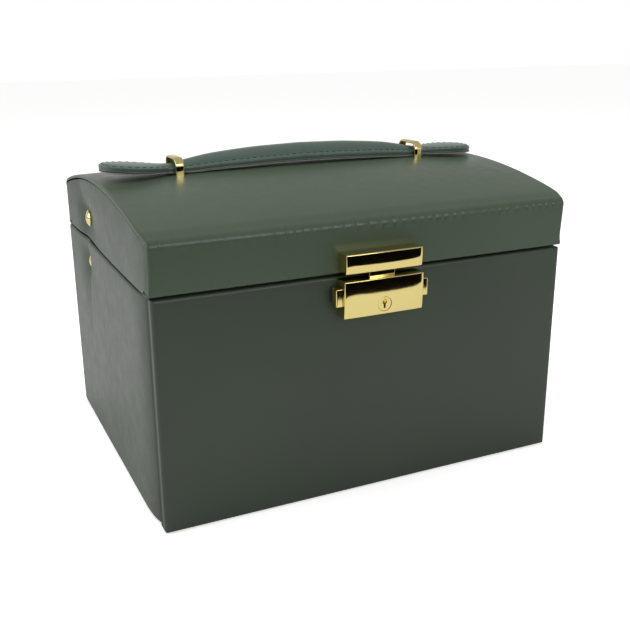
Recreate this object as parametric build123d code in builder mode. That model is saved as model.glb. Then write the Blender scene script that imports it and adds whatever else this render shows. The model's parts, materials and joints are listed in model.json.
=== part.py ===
"""Tiered jewellery box with an arched lid, a strap handle, a squeeze lock and self-drawing trays.

Millimetres. The origin is on the table under the middle of the case: +X is to the right as the front is seen,
the front faces -Y and +Z is up. The lid is closed and every tray is in.
"""
from math import cos, radians, sin, sqrt
import os

from build123d import *

os.makedirs("parts", exist_ok=True)

# Overall sizes of the case
body_width = 238.0  # the front panel, left to right
body_depth = 195.0  # front leather to back leather
body_height = 124.7  # table to the seam
seam_gap = 2.2  # between the body and the closed lid
lid_front_height = 26.4  # the lid's front, from the seam gap to its ridge
dome_rise = 12.9  # from the lid's front edge to its crown, at the sides
dome_crown = 3.5  # how much higher the crown is in the middle than at the sides
side_bow = 3.4  # how far the padded sides stand proud of the front panel
bow_run = 24.0  # the length in which a padded side swells at the front
bow_run_back = 4.0
knee_share = 0.25  # where the swell turns, as a share of its run
lid_overhang = 1.0  # the lid is this much wider than the front panel, each side

# Boards, leather and gaps
wall_board = 6.0
base_board_thickness = 6.0
base_sheet_thickness = 0.8
leather = 1.0
panel_thickness = 8.0  # front panel with its leather
lid_wall = 7.5  # lid rails with their leather
lid_board_thickness = 4.0
cover_padding = 2.4
panel_gap = 0.3  # front panel to the walls' front ends
sliding_gap = 0.3  # between pieces that slide on each other
running_clearance = 0.07  # radial, pin in hole
side_play = 0.15  # along a pin, between a lever and its neighbour
overrun = 1.0  # how far a cut runs past a face
edge_round = 0.8

# The lever gap between the walls and the trays, from the wall inwards
lever_standoff = 1.4
lever_plate = 1.5
link_play = 0.3
fork_plate = 1.0
fork_to_lever = 1.2
fork_to_fork = 0.4

# The lid stay: rivets, hinge and lever
rivet_inset = 51.0  # from the back to both rivets
lid_rivet_rise = 10.8  # above the lid's lower edge
case_rivet_drop = 13.7  # below the case's upper edge
lid_opening = 92.0  # degrees
rivet_radius = 2.0
rivet_head = 5.0  # radius of a lid rivet's head
case_rivet_head = 4.5
rivet_dome = 1.8
rivet_sink = 3.5  # how far the padding lets a rivet's head sink below the padded side
dimple_clear = 0.45  # from a rivet's seat down to the middle of its dimple
dimple_radius = 16.0
collar_radius = 4.0
tail_radius = 3.4
tail_thickness = 0.85
drive_lever = 57.0  # case rivet to the pin that draws the bottom drawer
middle_lever = 27.5  # case rivet to the pin that draws the middle drawer
lever_back_angle = 38.0  # degrees that the drive arm leans back with the lid closed
lever_width = 10.0
link_width = 9.0
hub_radius = 7.0
pin_radius = 2.0
drawer_travel_share = 0.895  # drawer travel for each radian of the lid, as a share of the lever
fork_offset_share = 0.021  # the fork's middle lies this share of the lever ahead of the pin
fork_play_share = 0.0335  # how far the pin wanders in its fork, as a share of the lever
fork_prong = 3.0

# Drawers and tray
runner_height = 1.2
runner_width = 6.0
runner_inset = 15.0
drawer_wall = 5.0
drawer_floor = 3.0
middle_drawer_height = 35.0
tray_height = 36.0
tray_gap = 0.9
tray_margin = 5.7  # case's upper edge to the top tray's rim
drawer_back_gap = 3.2
lining_wall = 1.2
lining_floor = 1.5
lining_drop = 1.5
lining_fit = 0.1
divider = 2.0

# Hinges, each with three knuckles, and the small screws
knuckle_radius = 2.4
knuckle_clear = 0.1  # between a knuckle and the back
hinge_inset = 57.0  # side of the case to the middle of each hinge
hinge_width = 36.0
hinge_leaf = 1.1
hinge_leaf_height = 17.0
knuckle_gap = 0.3
hinge_pin_radius = 1.1
hinge_pin_head = 1.8
hinge_pin_head_length = 0.7
screw_radius = 1.1
screw_head = 2.1
screw_head_height = 0.9
screw_length = 6.0
hinge_screw_inset = 7.0
middle_knuckle = hinge_width / 3
screw_place_share = 0.62  # of a leaf's height

# Places that follow from the sizes above
front_y = -body_depth / 2
back_y = body_depth / 2
panel_half = body_width / 2
wall_outer = panel_half - leather
wall_inner = wall_outer - wall_board
wall_front = front_y + panel_thickness + panel_gap
back_board_outer = back_y - leather
back_board_inner = back_board_outer - wall_board - leather
base_top = base_sheet_thickness + base_board_thickness
bow_half = panel_half + side_bow
dimple_depth = rivet_sink + dimple_clear

lid_bottom = body_height + seam_gap
ridge_height = lid_bottom + lid_front_height
crest = ridge_height + dome_rise
lid_half = panel_half + lid_overhang
arch_radius = (back_y**2 + dome_rise**2) / (2 * dome_rise)
arch_centre = crest - arch_radius
cover_inner_radius = arch_radius - cover_padding
board_inner_radius = cover_inner_radius - lid_board_thickness
lid_front_inner = front_y + lid_wall
lid_back_inner = back_y - lid_wall
cover_half = bow_half
crown_radius = (cover_half**2 + dome_crown**2) / (2 * dome_crown)

lever_outer = wall_inner - lever_standoff
lever_inner = lever_outer - lever_plate
link_outer = lever_inner - link_play
link_inner = link_outer - lever_plate
bottom_fork_outer = lever_inner - fork_to_lever
bottom_half = bottom_fork_outer - fork_plate
middle_fork_outer = bottom_half - fork_to_fork
middle_half = middle_fork_outer - fork_plate

tray_top = body_height - tray_margin
tray_z = tray_top - tray_height
middle_top = tray_z - tray_gap
middle_z = middle_top - middle_drawer_height
bottom_top = middle_z - sliding_gap
bottom_z = base_top + runner_height + sliding_gap
drawer_back = back_board_inner - drawer_back_gap
drawer_front = front_y + panel_thickness
middle_front = drawer_front + sliding_gap

# Hinge line: the knuckles stand just clear of the back
hinge_y = back_y + knuckle_radius + knuckle_clear
hinge_z = body_height + seam_gap / 2
hinge_spread = panel_half - hinge_inset
leaf_plane = back_y + hinge_leaf
hinge_screws_x = tuple(
    side * hinge_spread + end * (hinge_width / 2 - hinge_screw_inset) for side in (-1, 1) for end in (-1, 1)
)

# The lever's upper arm is as long, and points the same way, as the line from the hinge to the lid rivet
rivet_setback = back_y - rivet_inset
case_rivet_height = body_height - case_rivet_drop
lid_rivet_height = lid_bottom + lid_rivet_rise
arm_y = rivet_setback - hinge_y
arm_z = lid_rivet_height - hinge_z
joint_y = rivet_setback + arm_y
joint_z = case_rivet_height + arm_z
bottom_travel = drive_lever * drawer_travel_share * radians(lid_opening)
middle_travel = middle_lever * drawer_travel_share * radians(lid_opening)

sides = {"left": -1, "right": 1}


def span(low, high):
    """Middle and length of a stretch."""
    return (low + high) / 2, abs(high - low)


def block(x_span, y_span, z_span, mode=Mode.ADD):
    """A box between three pairs of planes."""
    (x, length), (y, depth), (z, height) = span(*x_span), span(*y_span), span(*z_span)
    with Locations((x, y, z)):
        Box(length, depth, height, mode=mode)


def bar_x(radius, x_span, y, z, mode=Mode.ADD):
    """A round bar along X."""
    x, length = span(*x_span)
    with Locations((x, y, z)):
        Cylinder(radius, length, rotation=(0, 90, 0), mode=mode)


def bar_y(radius, y_span, x, z, mode=Mode.ADD):
    """A round bar along Y."""
    y, length = span(*y_span)
    with Locations((x, y, z)):
        Cylinder(radius, length, rotation=(90, 0, 0), mode=mode)


def under_arch(radius):
    """Keep what lies inside a cylinder along X about the dome's centre line."""
    with Locations((0, 0, arch_centre)):
        Cylinder(radius, 2 * body_width, rotation=(0, 90, 0), mode=Mode.INTERSECT)


def turned(profile, side, y, z):
    """A turned piece on an axis along X.

    The profile is (outward place, radius) pairs, from the inside end out. A pair of pairs is an arc: the
    point that it passes through, then its end.
    """
    base = Plane(origin=(0, y, z), x_dir=(side, 0, 0), z_dir=(0, -1, 0))
    with BuildSketch(base, mode=Mode.PRIVATE) as half:
        with BuildLine():
            last = (profile[0][0], 0)
            for step in profile:
                if isinstance(step[0], tuple):
                    ThreePointArc(last, *step)
                    last = step[1]
                else:
                    Line(last, step)
                    last = step
            Line(last, (profile[0][0], 0))
        make_face()
    revolve(half.sketch, axis=Axis((0, y, z), (1, 0, 0)))


def rivet(side, head, collar_face, tail_face, y, z):
    """A rivet with a domed head on a padded side, a collar on the wall's inside and a tail past its lever."""
    ball = (head**2 + rivet_dome**2) / (2 * rivet_dome)
    seat = bow_half - rivet_sink
    top = seat + rivet_dome
    dome = ((top - ball + sqrt(ball**2 - (head / 2) ** 2), head / 2), (top, 0))
    profile = (
        (tail_face - tail_thickness, tail_radius), (tail_face, tail_radius), (tail_face, rivet_radius),
        (collar_face, rivet_radius), (collar_face, collar_radius), (wall_inner, collar_radius),
        (wall_inner, rivet_radius), (seat, rivet_radius), (seat, head), dome,
    )
    turned(profile, side, y, z)


def padded_plan(side, inner_x, edge_x, front, back):
    """Plan of a padded side: flat inside, swelling outside from both of its upright edges."""
    bow_x = side * bow_half
    with BuildSketch(Plane.XY, mode=Mode.PRIVATE) as plan:
        with BuildLine():
            low_knee, high_knee = front + bow_run * knee_share, back - bow_run_back * knee_share
            swell = Bezier((side * edge_x, front), (bow_x, low_knee), (bow_x, front + bow_run))
            flat = Line(swell @ 1, (bow_x, back - bow_run_back))
            turn = Bezier(flat @ 1, (bow_x, high_knee), (side * edge_x, back))
            Polyline(turn @ 1, (side * inner_x, back), (side * inner_x, front), swell @ 0)
        make_face()
    return plan.sketch


def rivet_dimple(side, y, z):
    """Draw a padded side in round a rivet: a shallow hollow with the rivet's hole in its middle."""
    ball = (dimple_radius**2 + dimple_depth**2) / (2 * dimple_depth)
    with Locations((side * (bow_half - dimple_depth + ball), y, z)):
        Sphere(ball, mode=Mode.SUBTRACT)
    bar_x(
        rivet_radius, (side * (wall_inner - overrun), side * (bow_half + overrun)), y, z, mode=Mode.SUBTRACT
    )


def hinge_screw_holes(up):
    """Pilot holes for a row of hinge screws, in the lid's back (up is 1) or the case's (up is -1)."""
    screw_z = hinge_z + up * hinge_leaf_height * screw_place_share
    for x in hinge_screws_x:
        bar_y(screw_radius, (leaf_plane - screw_length, back_y + overrun), x, screw_z, mode=Mode.SUBTRACT)


def save(piece, name):
    """Label a finished piece and write it to its own file."""
    piece.part.label = name
    export_step(piece.part, f"parts/{name}.step")


# Base sheet and base board
with BuildPart() as base_sheet:
    block((-wall_outer, wall_outer), (wall_front, back_board_outer), (0, base_sheet_thickness))
save(base_sheet, "base_sheet")

with BuildPart() as base_board:
    block((-wall_inner, wall_inner), (wall_front, back_board_inner), (base_sheet_thickness, base_top))
save(base_board, "base_board")

# Runner strips on the base, on which the bottom drawer slides
with BuildPart() as drawer_runners:
    for side in sides.values():
        runner_x = side * (middle_half - runner_inset)
        block(
            (runner_x - runner_width / 2, runner_x + runner_width / 2),
            (wall_front + runner_width, drawer_back - runner_width),
            (base_top, base_top + runner_height),
        )
save(drawer_runners, "drawer_runners")

# Back board between the side boards, and the leather over the back
with BuildPart() as back_board:
    board_y = (back_board_inner, back_board_outer)
    block((-wall_inner, wall_inner), board_y, (base_sheet_thickness, body_height))
    hinge_screw_holes(-1)
save(back_board, "back_board")

with BuildPart() as back_cover:
    block((-wall_outer, wall_outer), (back_board_outer, back_y), (base_sheet_thickness, body_height))
    hinge_screw_holes(-1)
save(back_cover, "back_cover")

# Side boards and their padded leather
for label, side in sides.items():
    with BuildPart() as side_board:
        block(
            (side * wall_inner, side * wall_outer),
            (wall_front, back_board_outer),
            (base_sheet_thickness, body_height),
        )
        bar_x(
            rivet_radius, (side * (wall_inner - overrun), side * (wall_outer + overrun)),
            rivet_setback, case_rivet_height, mode=Mode.SUBTRACT,
        )
    save(side_board, f"side_board_{label}")

    with BuildPart() as side_cover:
        outline = padded_plan(side, wall_outer, panel_half, wall_front, back_y)
        with BuildSketch(Plane.XY.offset(base_sheet_thickness)):
            add(outline)
        extrude(amount=body_height - base_sheet_thickness)
        rivet_dimple(side, rivet_setback, case_rivet_height)
    save(side_cover, f"side_cover_{label}")

# Lever rivets: domed head outside, collar and tail inside
with BuildPart() as lever_rivets:
    for side in sides.values():
        rivet(
            side, case_rivet_head, lever_outer + side_play, lever_inner - side_play,
            rivet_setback, case_rivet_height,
        )
save(lever_rivets, "lever_rivets")


def open_tray(half_x, y_span, z_span):
    """A plain box with a floor and four walls."""
    block((-half_x, half_x), y_span, z_span)
    block(
        (-half_x + drawer_wall, half_x - drawer_wall),
        (y_span[0] + drawer_wall, y_span[1] - drawer_wall),
        (z_span[0] + drawer_floor, z_span[1] + overrun),
        mode=Mode.SUBTRACT,
    )


def lining(half_x, y_span, z_span, columns, rows):
    """A velvet insert for a tray, with a grid of compartments."""
    inner_x = half_x - drawer_wall - lining_fit
    low_y, high_y = y_span[0] + drawer_wall + lining_fit, y_span[1] - drawer_wall - lining_fit
    low_z, high_z = z_span[0] + drawer_floor, z_span[1] - lining_drop
    block((-inner_x, inner_x), (low_y, high_y), (low_z, high_z))
    clear_x = 2 * inner_x - 2 * lining_wall
    clear_y = high_y - low_y - 2 * lining_wall
    cell_x = (clear_x - (columns - 1) * divider) / columns
    cell_y = (clear_y - (rows - 1) * divider) / rows
    for column in range(columns):
        for row in range(rows):
            x = -inner_x + lining_wall + column * (cell_x + divider)
            y = low_y + lining_wall + row * (cell_y + divider)
            cell_z = (low_z + lining_floor, high_z + overrun)
            block((x, x + cell_x), (y, y + cell_y), cell_z, mode=Mode.SUBTRACT)


# Top tray, which stays in the case, with its lining
ring_zone = 100.0  # width of the tray's left part, kept for ring rolls
tray_front = wall_front + sliding_gap
tray_span_y = (tray_front, drawer_back)
with BuildPart() as top_tray:
    open_tray(middle_half, tray_span_y, (tray_z, tray_top))
save(top_tray, "top_tray")

tray_inner = middle_half - drawer_wall - lining_fit
tray_low_y = tray_span_y[0] + drawer_wall + lining_fit
tray_high_y = tray_span_y[1] - drawer_wall - lining_fit
tray_low_z = tray_z + drawer_floor
tray_high_z = tray_top - lining_drop
ring_x = -tray_inner + ring_zone
tray_rows = 3
with BuildPart() as top_tray_lining:
    block((-tray_inner, tray_inner), (tray_low_y, tray_high_y), (tray_low_z, tray_high_z))
    block(
        (-tray_inner + lining_wall, ring_x), (tray_low_y + lining_wall, tray_high_y - lining_wall),
        (tray_low_z + lining_floor, tray_high_z + overrun), mode=Mode.SUBTRACT,
    )
    cell_y = (tray_high_y - tray_low_y - 2 * lining_wall - (tray_rows - 1) * divider) / tray_rows
    for row in range(tray_rows):
        low_y = tray_low_y + lining_wall + row * (cell_y + divider)
        block(
            (ring_x + divider, tray_inner - lining_wall), (low_y, low_y + cell_y),
            (tray_low_z + lining_floor, tray_high_z + overrun), mode=Mode.SUBTRACT,
        )
save(top_tray_lining, "top_tray_lining")

# Foam ring rolls, side by side in the ring zone
roll_count = 8
roll_gap = 2.2
roll_side = 0.3
roll_drop = 6.0  # below the lining's rim
roll_top = tray_high_z - roll_drop
ring_low_y = tray_low_y + lining_wall + roll_side
ring_high_y = tray_high_y - lining_wall - roll_side
roll_depth = (ring_high_y - ring_low_y - (roll_count - 1) * roll_gap) / roll_count
with BuildPart() as ring_rolls:
    for roll in range(roll_count):
        low_y = ring_low_y + roll * (roll_depth + roll_gap)
        middle_y = low_y + roll_depth / 2
        block(
            (-tray_inner + lining_wall + roll_side, ring_x - roll_side), (low_y, low_y + roll_depth),
            (tray_low_z + lining_floor, roll_top - roll_depth / 2),
        )
        bar_x(
            roll_depth / 2, (-tray_inner + lining_wall + roll_side, ring_x - roll_side),
            middle_y, roll_top - roll_depth / 2,
        )
save(ring_rolls, "ring_rolls")

# Wooden blocks that carry the top tray, clear of the levers' sweep
block_length = 24.0
back_block_length = 13.0
block_height = 19.0
block_drop = 2.0
with BuildPart() as tray_blocks:
    for side in sides.values():
        for low_y, high_y in (
            (tray_front, tray_front + block_length),
            (drawer_back - back_block_length, drawer_back),
        ):
            block(
                (side * middle_half, side * wall_inner), (low_y, high_y),
                (tray_top - block_drop - block_height, tray_top - block_drop),
            )
save(tray_blocks, "tray_blocks")


# Hinges on the back: two butt hinges, three knuckles each, with pins and countersunk screws


def leaf(x, up, knuckles):
    """One hinge leaf on the back, with its knuckles. up is 1 for the lid's leaf and -1 for the case's."""
    far_z = hinge_z + up * hinge_leaf_height
    block((x - hinge_width / 2, x + hinge_width / 2), (back_y, leaf_plane), (hinge_z, far_z))
    for low_x, high_x, own in knuckles:
        if own:
            bar_x(knuckle_radius, (x + low_x, x + high_x), hinge_y, hinge_z)
        else:
            block(
                (x + low_x - knuckle_gap, x + high_x + knuckle_gap), (back_y - overrun, leaf_plane + overrun),
                (hinge_z - up * overrun, hinge_z + up * (knuckle_radius + knuckle_gap)), mode=Mode.SUBTRACT,
            )
    bar_x(
        hinge_pin_radius + running_clearance, (x - hinge_width, x + hinge_width), hinge_y, hinge_z,
        mode=Mode.SUBTRACT,
    )


def screw_places(up):
    """Where the hinge screws of one row go, heads outwards."""
    screw_z = hinge_z + up * hinge_leaf_height * screw_place_share
    return [Location((x, leaf_plane, screw_z), (-90, 0, 0)) for x in hinge_screws_x]


def countersunk_screws(places, length=screw_length, mode=Mode.ADD):
    """Countersunk screws, each head flush with its place's XY plane and its shank running to -Z."""
    for place in places:
        with Locations(place):
            Cylinder(screw_radius, length, align=(Align.CENTER, Align.CENTER, Align.MAX), mode=mode)
            Cone(
                screw_radius, screw_head, screw_head_height,
                align=(Align.CENTER, Align.CENTER, Align.MAX), mode=mode,
            )


leaf_half_width = hinge_width / 2
knuckle_half = middle_knuckle / 2
for owner, up in (("case", -1), ("lid", 1)):
    lid_owns = up > 0
    knuckles = (
        (-leaf_half_width, -knuckle_half - knuckle_gap / 2, not lid_owns),
        (-knuckle_half + knuckle_gap / 2, knuckle_half - knuckle_gap / 2, lid_owns),
        (knuckle_half + knuckle_gap / 2, leaf_half_width, not lid_owns),
    )
    with BuildPart() as hinge_leaves:
        for side in sides.values():
            leaf(side * hinge_spread, up, knuckles)
        countersunk_screws(screw_places(up), mode=Mode.SUBTRACT)
    save(hinge_leaves, f"hinge_leaves_{owner}")

    with BuildPart() as hinge_screws:
        countersunk_screws(screw_places(up))
    save(hinge_screws, f"hinge_screws_{owner}")

with BuildPart() as hinge_pins:
    for side in sides.values():
        x = side * hinge_spread
        bar_x(hinge_pin_radius, (x - leaf_half_width, x + leaf_half_width), hinge_y, hinge_z)
        for end in (-1, 1):
            neck = x + end * leaf_half_width
            bar_x(hinge_pin_head, (neck, neck + end * hinge_pin_head_length), hinge_y, hinge_z)
save(hinge_pins, "hinge_pins")

# Lid frame: front rail, back rail and padded sides, their tops cut to the arch under the top cover
corner_round = 1.6
with BuildSketch(Plane.XY.offset(lid_bottom)) as lid_plan:
    for side in sides.values():
        add(padded_plan(side, 0, lid_half, front_y, back_y))

with BuildPart() as lid_front:
    extrude(lid_plan.sketch, amount=crest - lid_bottom)
    block((-body_width, body_width), (front_y, lid_front_inner), (lid_bottom, crest), mode=Mode.INTERSECT)
    under_arch(cover_inner_radius)
    fillet(lid_front.edges().filter_by(Axis.Z).group_by(Axis.Y)[0], radius=corner_round)
save(lid_front, "lid_front")

with BuildPart() as lid_back:
    block((-wall_inner, wall_inner), (lid_back_inner, back_y), (lid_bottom, crest))
    under_arch(cover_inner_radius)
    hinge_screw_holes(1)
save(lid_back, "lid_back")

for label, side in sides.items():
    with BuildPart() as lid_side:
        extrude(lid_plan.sketch, amount=crest - lid_bottom)
        block(
            (side * wall_inner, side * body_width), (lid_front_inner, back_y), (lid_bottom, crest),
            mode=Mode.INTERSECT,
        )
        under_arch(cover_inner_radius)
        rivet_dimple(side, rivet_setback, lid_rivet_height)
    save(lid_side, f"lid_side_{label}")

# Handle loops: flat staples whose legs pass through the lid's cover and board
loop_inset = 43.0  # lid's side to the middle of each loop
loop_width = 5.0
loop_half = 10.5
loop_bar = 2.0
loop_rise = 12.0  # above the lid's crest
loop_round = 3.5
loop_inner_round = 1.6
loop_leg_depth = 8.0  # below the lid's crest
leg_fit = 0.1
loop_place = lid_half - loop_inset
loop_top = crest + loop_rise
loop_leg_end = crest - loop_leg_depth


def loop_leg_holes():
    """Cut the holes for the four loop legs."""
    leg_y = loop_half - loop_bar / 2
    half_x, half_y = loop_width / 2 + leg_fit, loop_bar / 2 + leg_fit
    for x in (-loop_place, loop_place):
        for y in (-leg_y, leg_y):
            block(
                (x - half_x, x + half_x), (y - half_y, y + half_y), (lid_bottom, crest + body_height),
                mode=Mode.SUBTRACT,
            )


with BuildPart() as lid_top_board:
    block((-wall_inner, wall_inner), (lid_front_inner, lid_back_inner), (lid_bottom, crest))
    under_arch(cover_inner_radius)
    with Locations((0, 0, arch_centre)):
        Cylinder(board_inner_radius, 2 * body_width, rotation=(0, 90, 0), mode=Mode.SUBTRACT)
    loop_leg_holes()
save(lid_top_board, "lid_top_board")

# Padded top cover, crowned both ways: a slice of a barrel, trimmed to the lid's outline
barrel_turn = 40.0  # degrees of the barrel that are turned, more than the lid's depth needs
cover_round = 1.6
with BuildPart() as lid_cover:
    tilt = radians(barrel_turn / 2)
    barrel_plane = Plane(
        origin=(0, 0, arch_centre), x_dir=(1, 0, 0), z_dir=(0, -cos(tilt), sin(tilt))
    )
    with BuildSketch(barrel_plane):
        with BuildLine():
            crown = ThreePointArc(
                (-cover_half, arch_radius), (0, arch_radius + dome_crown), (cover_half, arch_radius)
            )
            Polyline(
                crown @ 1, (cover_half, cover_inner_radius), (-cover_half, cover_inner_radius), crown @ 0
            )
        make_face()
    revolve(axis=Axis((0, 0, arch_centre), (1, 0, 0)), revolution_arc=barrel_turn)
    extrude(lid_plan.sketch, amount=body_height, mode=Mode.INTERSECT)
    fillet(lid_cover.faces().sort_by(Axis.Z)[-1].edges(), radius=cover_round)
    loop_leg_holes()
save(lid_cover, "lid_cover")

for label, side in sides.items():
    with BuildPart() as loop:
        x_span = (side * loop_place - loop_width / 2, side * loop_place + loop_width / 2)
        block(x_span, (-loop_half, loop_half), (loop_leg_end, loop_top))
        fillet(loop.edges().filter_by(Axis.X).group_by(Axis.Z)[-1], radius=loop_round)
        with BuildPart(mode=Mode.PRIVATE) as gap:
            inside = loop_half - loop_bar
            block(x_span, (-inside, inside), (loop_leg_end - overrun, loop_top - loop_bar))
            fillet(gap.edges().filter_by(Axis.X).group_by(Axis.Z)[-1], radius=loop_inner_round)
        add(gap.part, mode=Mode.SUBTRACT)
    save(loop, f"loop_{label}")

# Mirror, its board across the lid and its padded frame
mirror_board_rise = 16.9  # lid's lower edge to the mirror's board
mirror_board_thickness = 3.0
mirror_thickness = 2.0
frame_thickness = 3.2
frame_width = 9.0
mirror_margin_x = 15.5
mirror_margin_y = 12.0
mirror_board_z = lid_bottom + mirror_board_rise
mirror_x = wall_inner - mirror_margin_x
mirror_y = lid_back_inner - mirror_margin_y
with BuildPart() as mirror_board:
    block(
        (-wall_inner, wall_inner), (lid_front_inner, lid_back_inner),
        (mirror_board_z, mirror_board_z + mirror_board_thickness),
    )
    under_arch(board_inner_radius)
save(mirror_board, "mirror_board")

with BuildPart() as mirror_glass:
    block((-mirror_x, mirror_x), (-mirror_y, mirror_y), (mirror_board_z - mirror_thickness, mirror_board_z))
save(mirror_glass, "mirror")

with BuildPart() as mirror_frame:
    frame_x, frame_y = mirror_x + frame_width, mirror_y + frame_width
    frame_z = mirror_board_z - frame_thickness
    block((-frame_x, frame_x), (-frame_y, frame_y), (frame_z, mirror_board_z))
    lip = frame_thickness - mirror_thickness
    block((-mirror_x, mirror_x), (-mirror_y, mirror_y), (frame_z + lip, mirror_board_z), mode=Mode.SUBTRACT)
    block(
        (-mirror_x + lip, mirror_x - lip), (-mirror_y + lip, mirror_y - lip),
        (frame_z - overrun, frame_z + lip), mode=Mode.SUBTRACT,
    )
    fillet(mirror_frame.faces().sort_by(Axis.Z)[0].edges(), radius=lip / 2)
save(mirror_frame, "mirror_frame")

# Link rivets in the lid's sides
with BuildPart() as link_rivets:
    for side in sides.values():
        rivet(
            side, rivet_head, link_outer + side_play, link_inner - side_play,
            rivet_setback, lid_rivet_height,
        )
save(link_rivets, "link_rivets")

# Bell-crank levers and links
drive_y = rivet_setback + drive_lever * sin(radians(lever_back_angle))
drive_z = case_rivet_height - drive_lever * cos(radians(lever_back_angle))
middle_y = rivet_setback + middle_lever * sin(radians(lever_back_angle))
middle_pin_z = case_rivet_height - middle_lever * cos(radians(lever_back_angle))
rivet_hole = rivet_radius + running_clearance


def strip(start, end, width):
    """A flat strip with round ends between two places in the YZ plane, as a private sketch."""
    run = Vector(*end) - Vector(*start)
    middle = (Vector(*start) + Vector(*end)) / 2
    turn = Vector(1, 0, 0).get_signed_angle(run, Vector(0, 0, 1))
    with BuildSketch(mode=Mode.PRIVATE) as flat:
        with Locations(Location((middle.X, middle.Y, 0), (0, 0, turn))):
            SlotCenterToCenter(run.length, width)
    return flat.sketch


for label, side in sides.items():
    with BuildPart() as lever:
        low_x = min(side * lever_inner, side * lever_outer)
        with BuildSketch(Plane.YZ.offset(low_x)):
            add(strip((rivet_setback, case_rivet_height), (joint_y, joint_z), lever_width))
            add(strip((rivet_setback, case_rivet_height), (drive_y, drive_z), lever_width))
            with Locations((rivet_setback, case_rivet_height)):
                Circle(hub_radius)
                Circle(rivet_hole, mode=Mode.SUBTRACT)
        extrude(amount=lever_plate)
        plate_mid = side * (lever_inner + lever_outer) / 2
        head_face = link_inner - side_play
        bar_x(pin_radius, (plate_mid, side * head_face), joint_y, joint_z)
        bar_x(tail_radius, (side * head_face, side * (head_face - tail_thickness)), joint_y, joint_z)
        bar_x(pin_radius, (plate_mid, side * (middle_fork_outer + side_play)), drive_y, drive_z)
        bar_x(pin_radius, (plate_mid, side * (middle_half + side_play)), middle_y, middle_pin_z)
    save(lever, f"lever_{label}")

    with BuildPart() as link:
        low_x = min(side * link_inner, side * link_outer)
        with BuildSketch(Plane.YZ.offset(low_x)):
            add(strip((rivet_setback, lid_rivet_height), (joint_y, joint_z), link_width))
            with Locations((rivet_setback, lid_rivet_height), (joint_y, joint_z)):
                Circle(rivet_hole, mode=Mode.SUBTRACT)
        extrude(amount=lever_plate)
    save(link, f"link_{label}")


# Fork plates on the drawers' sides, in which the levers' pins ride
fork_foot_inset = 6.0
fork_reach = 2.8  # from the pin's highest place to the prongs' tops
fork_play = 0.3
fork_screw_drop = 7.0
fork_screw_rise = 9.5
fork_screw_length = 4.5


def fork_middle(lever_length):
    """Place along Y of the middle of the fork for a lever arm, with the drawer in."""
    return rivet_setback + lever_length * (sin(radians(lever_back_angle)) - fork_offset_share)


def fork(side, outer_x, lever_length, foot_z):
    """One fork plate: a foot on the drawer's side and two prongs beside the pin's path, open at the top."""
    y = fork_middle(lever_length)
    gap = pin_radius + fork_play_share * lever_length + fork_play
    top = case_rivet_height - lever_length * cos(radians(lid_opening - lever_back_angle)) + fork_reach
    bottom = case_rivet_height - lever_length - pin_radius - fork_play
    low_x, high_x = sorted((side * (outer_x - fork_plate), side * outer_x))
    block((low_x, high_x), (y - gap - fork_prong, y + gap + fork_prong), (foot_z, top))
    block(
        (low_x - overrun, high_x + overrun), (y - gap, y + gap), (bottom, top + overrun), mode=Mode.SUBTRACT
    )


def fork_screw_places(outer_x, lever_length, foot_z, top_z):
    """Places of the fork screws, heads flush with the plates' outer faces."""
    places = []
    for side in sides.values():
        for z in (foot_z + fork_screw_rise, top_z - fork_screw_drop):
            places.append(Location((side * outer_x, fork_middle(lever_length), z), (0, side * 90, 0)))
    return places


bottom_foot_z = bottom_z + fork_foot_inset
middle_foot_z = middle_z + fork_foot_inset
bottom_fork_screws = fork_screw_places(bottom_fork_outer, drive_lever, bottom_foot_z, bottom_top)
middle_fork_screws = fork_screw_places(middle_fork_outer, middle_lever, middle_foot_z, middle_top)

with BuildPart() as bottom_forks:
    for side in sides.values():
        fork(side, bottom_fork_outer, drive_lever, bottom_foot_z)
    countersunk_screws(bottom_fork_screws, fork_screw_length, mode=Mode.SUBTRACT)
save(bottom_forks, "bottom_forks")

with BuildPart() as middle_forks:
    for side in sides.values():
        fork(side, middle_fork_outer, middle_lever, middle_foot_z)
    countersunk_screws(middle_fork_screws, fork_screw_length, mode=Mode.SUBTRACT)
save(middle_forks, "middle_forks")

# Bottom drawer, screwed to the full-height front panel
front_screw_length = 10.0
front_screw_inset = 39.0  # from the front panel's side
front_screw_rise = 12.0  # above the drawer's underside
front_screw_drop = 10.5  # below the drawer's rim
front_screws = [
    Location((side * (panel_half - front_screw_inset), drawer_front + drawer_wall, z), (-90, 0, 0))
    for side in sides.values()
    for z in (bottom_z + front_screw_rise, bottom_top - front_screw_drop)
]
with BuildPart() as bottom_drawer:
    open_tray(bottom_half, (drawer_front, drawer_back), (bottom_z, bottom_top))
    countersunk_screws(bottom_fork_screws, fork_screw_length, mode=Mode.SUBTRACT)
    countersunk_screws(front_screws, front_screw_length, mode=Mode.SUBTRACT)
save(bottom_drawer, "bottom_drawer")

with BuildPart() as bottom_drawer_lining:
    lining(bottom_half, (drawer_front, drawer_back), (bottom_z, bottom_top), columns=3, rows=1)
save(bottom_drawer_lining, "bottom_drawer_lining")

with BuildPart() as bottom_drawer_screws:
    countersunk_screws(bottom_fork_screws, fork_screw_length)
    countersunk_screws(front_screws, front_screw_length)
save(bottom_drawer_screws, "bottom_drawer_screws")

# Middle drawer
middle_span_y = (middle_front, drawer_back)
with BuildPart() as middle_drawer:
    open_tray(middle_half, middle_span_y, (middle_z, middle_top))
    countersunk_screws(middle_fork_screws, fork_screw_length, mode=Mode.SUBTRACT)
save(middle_drawer, "middle_drawer")

with BuildPart() as middle_drawer_lining:
    lining(middle_half, middle_span_y, (middle_z, middle_top), columns=3, rows=2)
save(middle_drawer_lining, "middle_drawer_lining")

with BuildPart() as middle_drawer_screws:
    countersunk_screws(middle_fork_screws, fork_screw_length)
save(middle_drawer_screws, "middle_drawer_screws")

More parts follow.
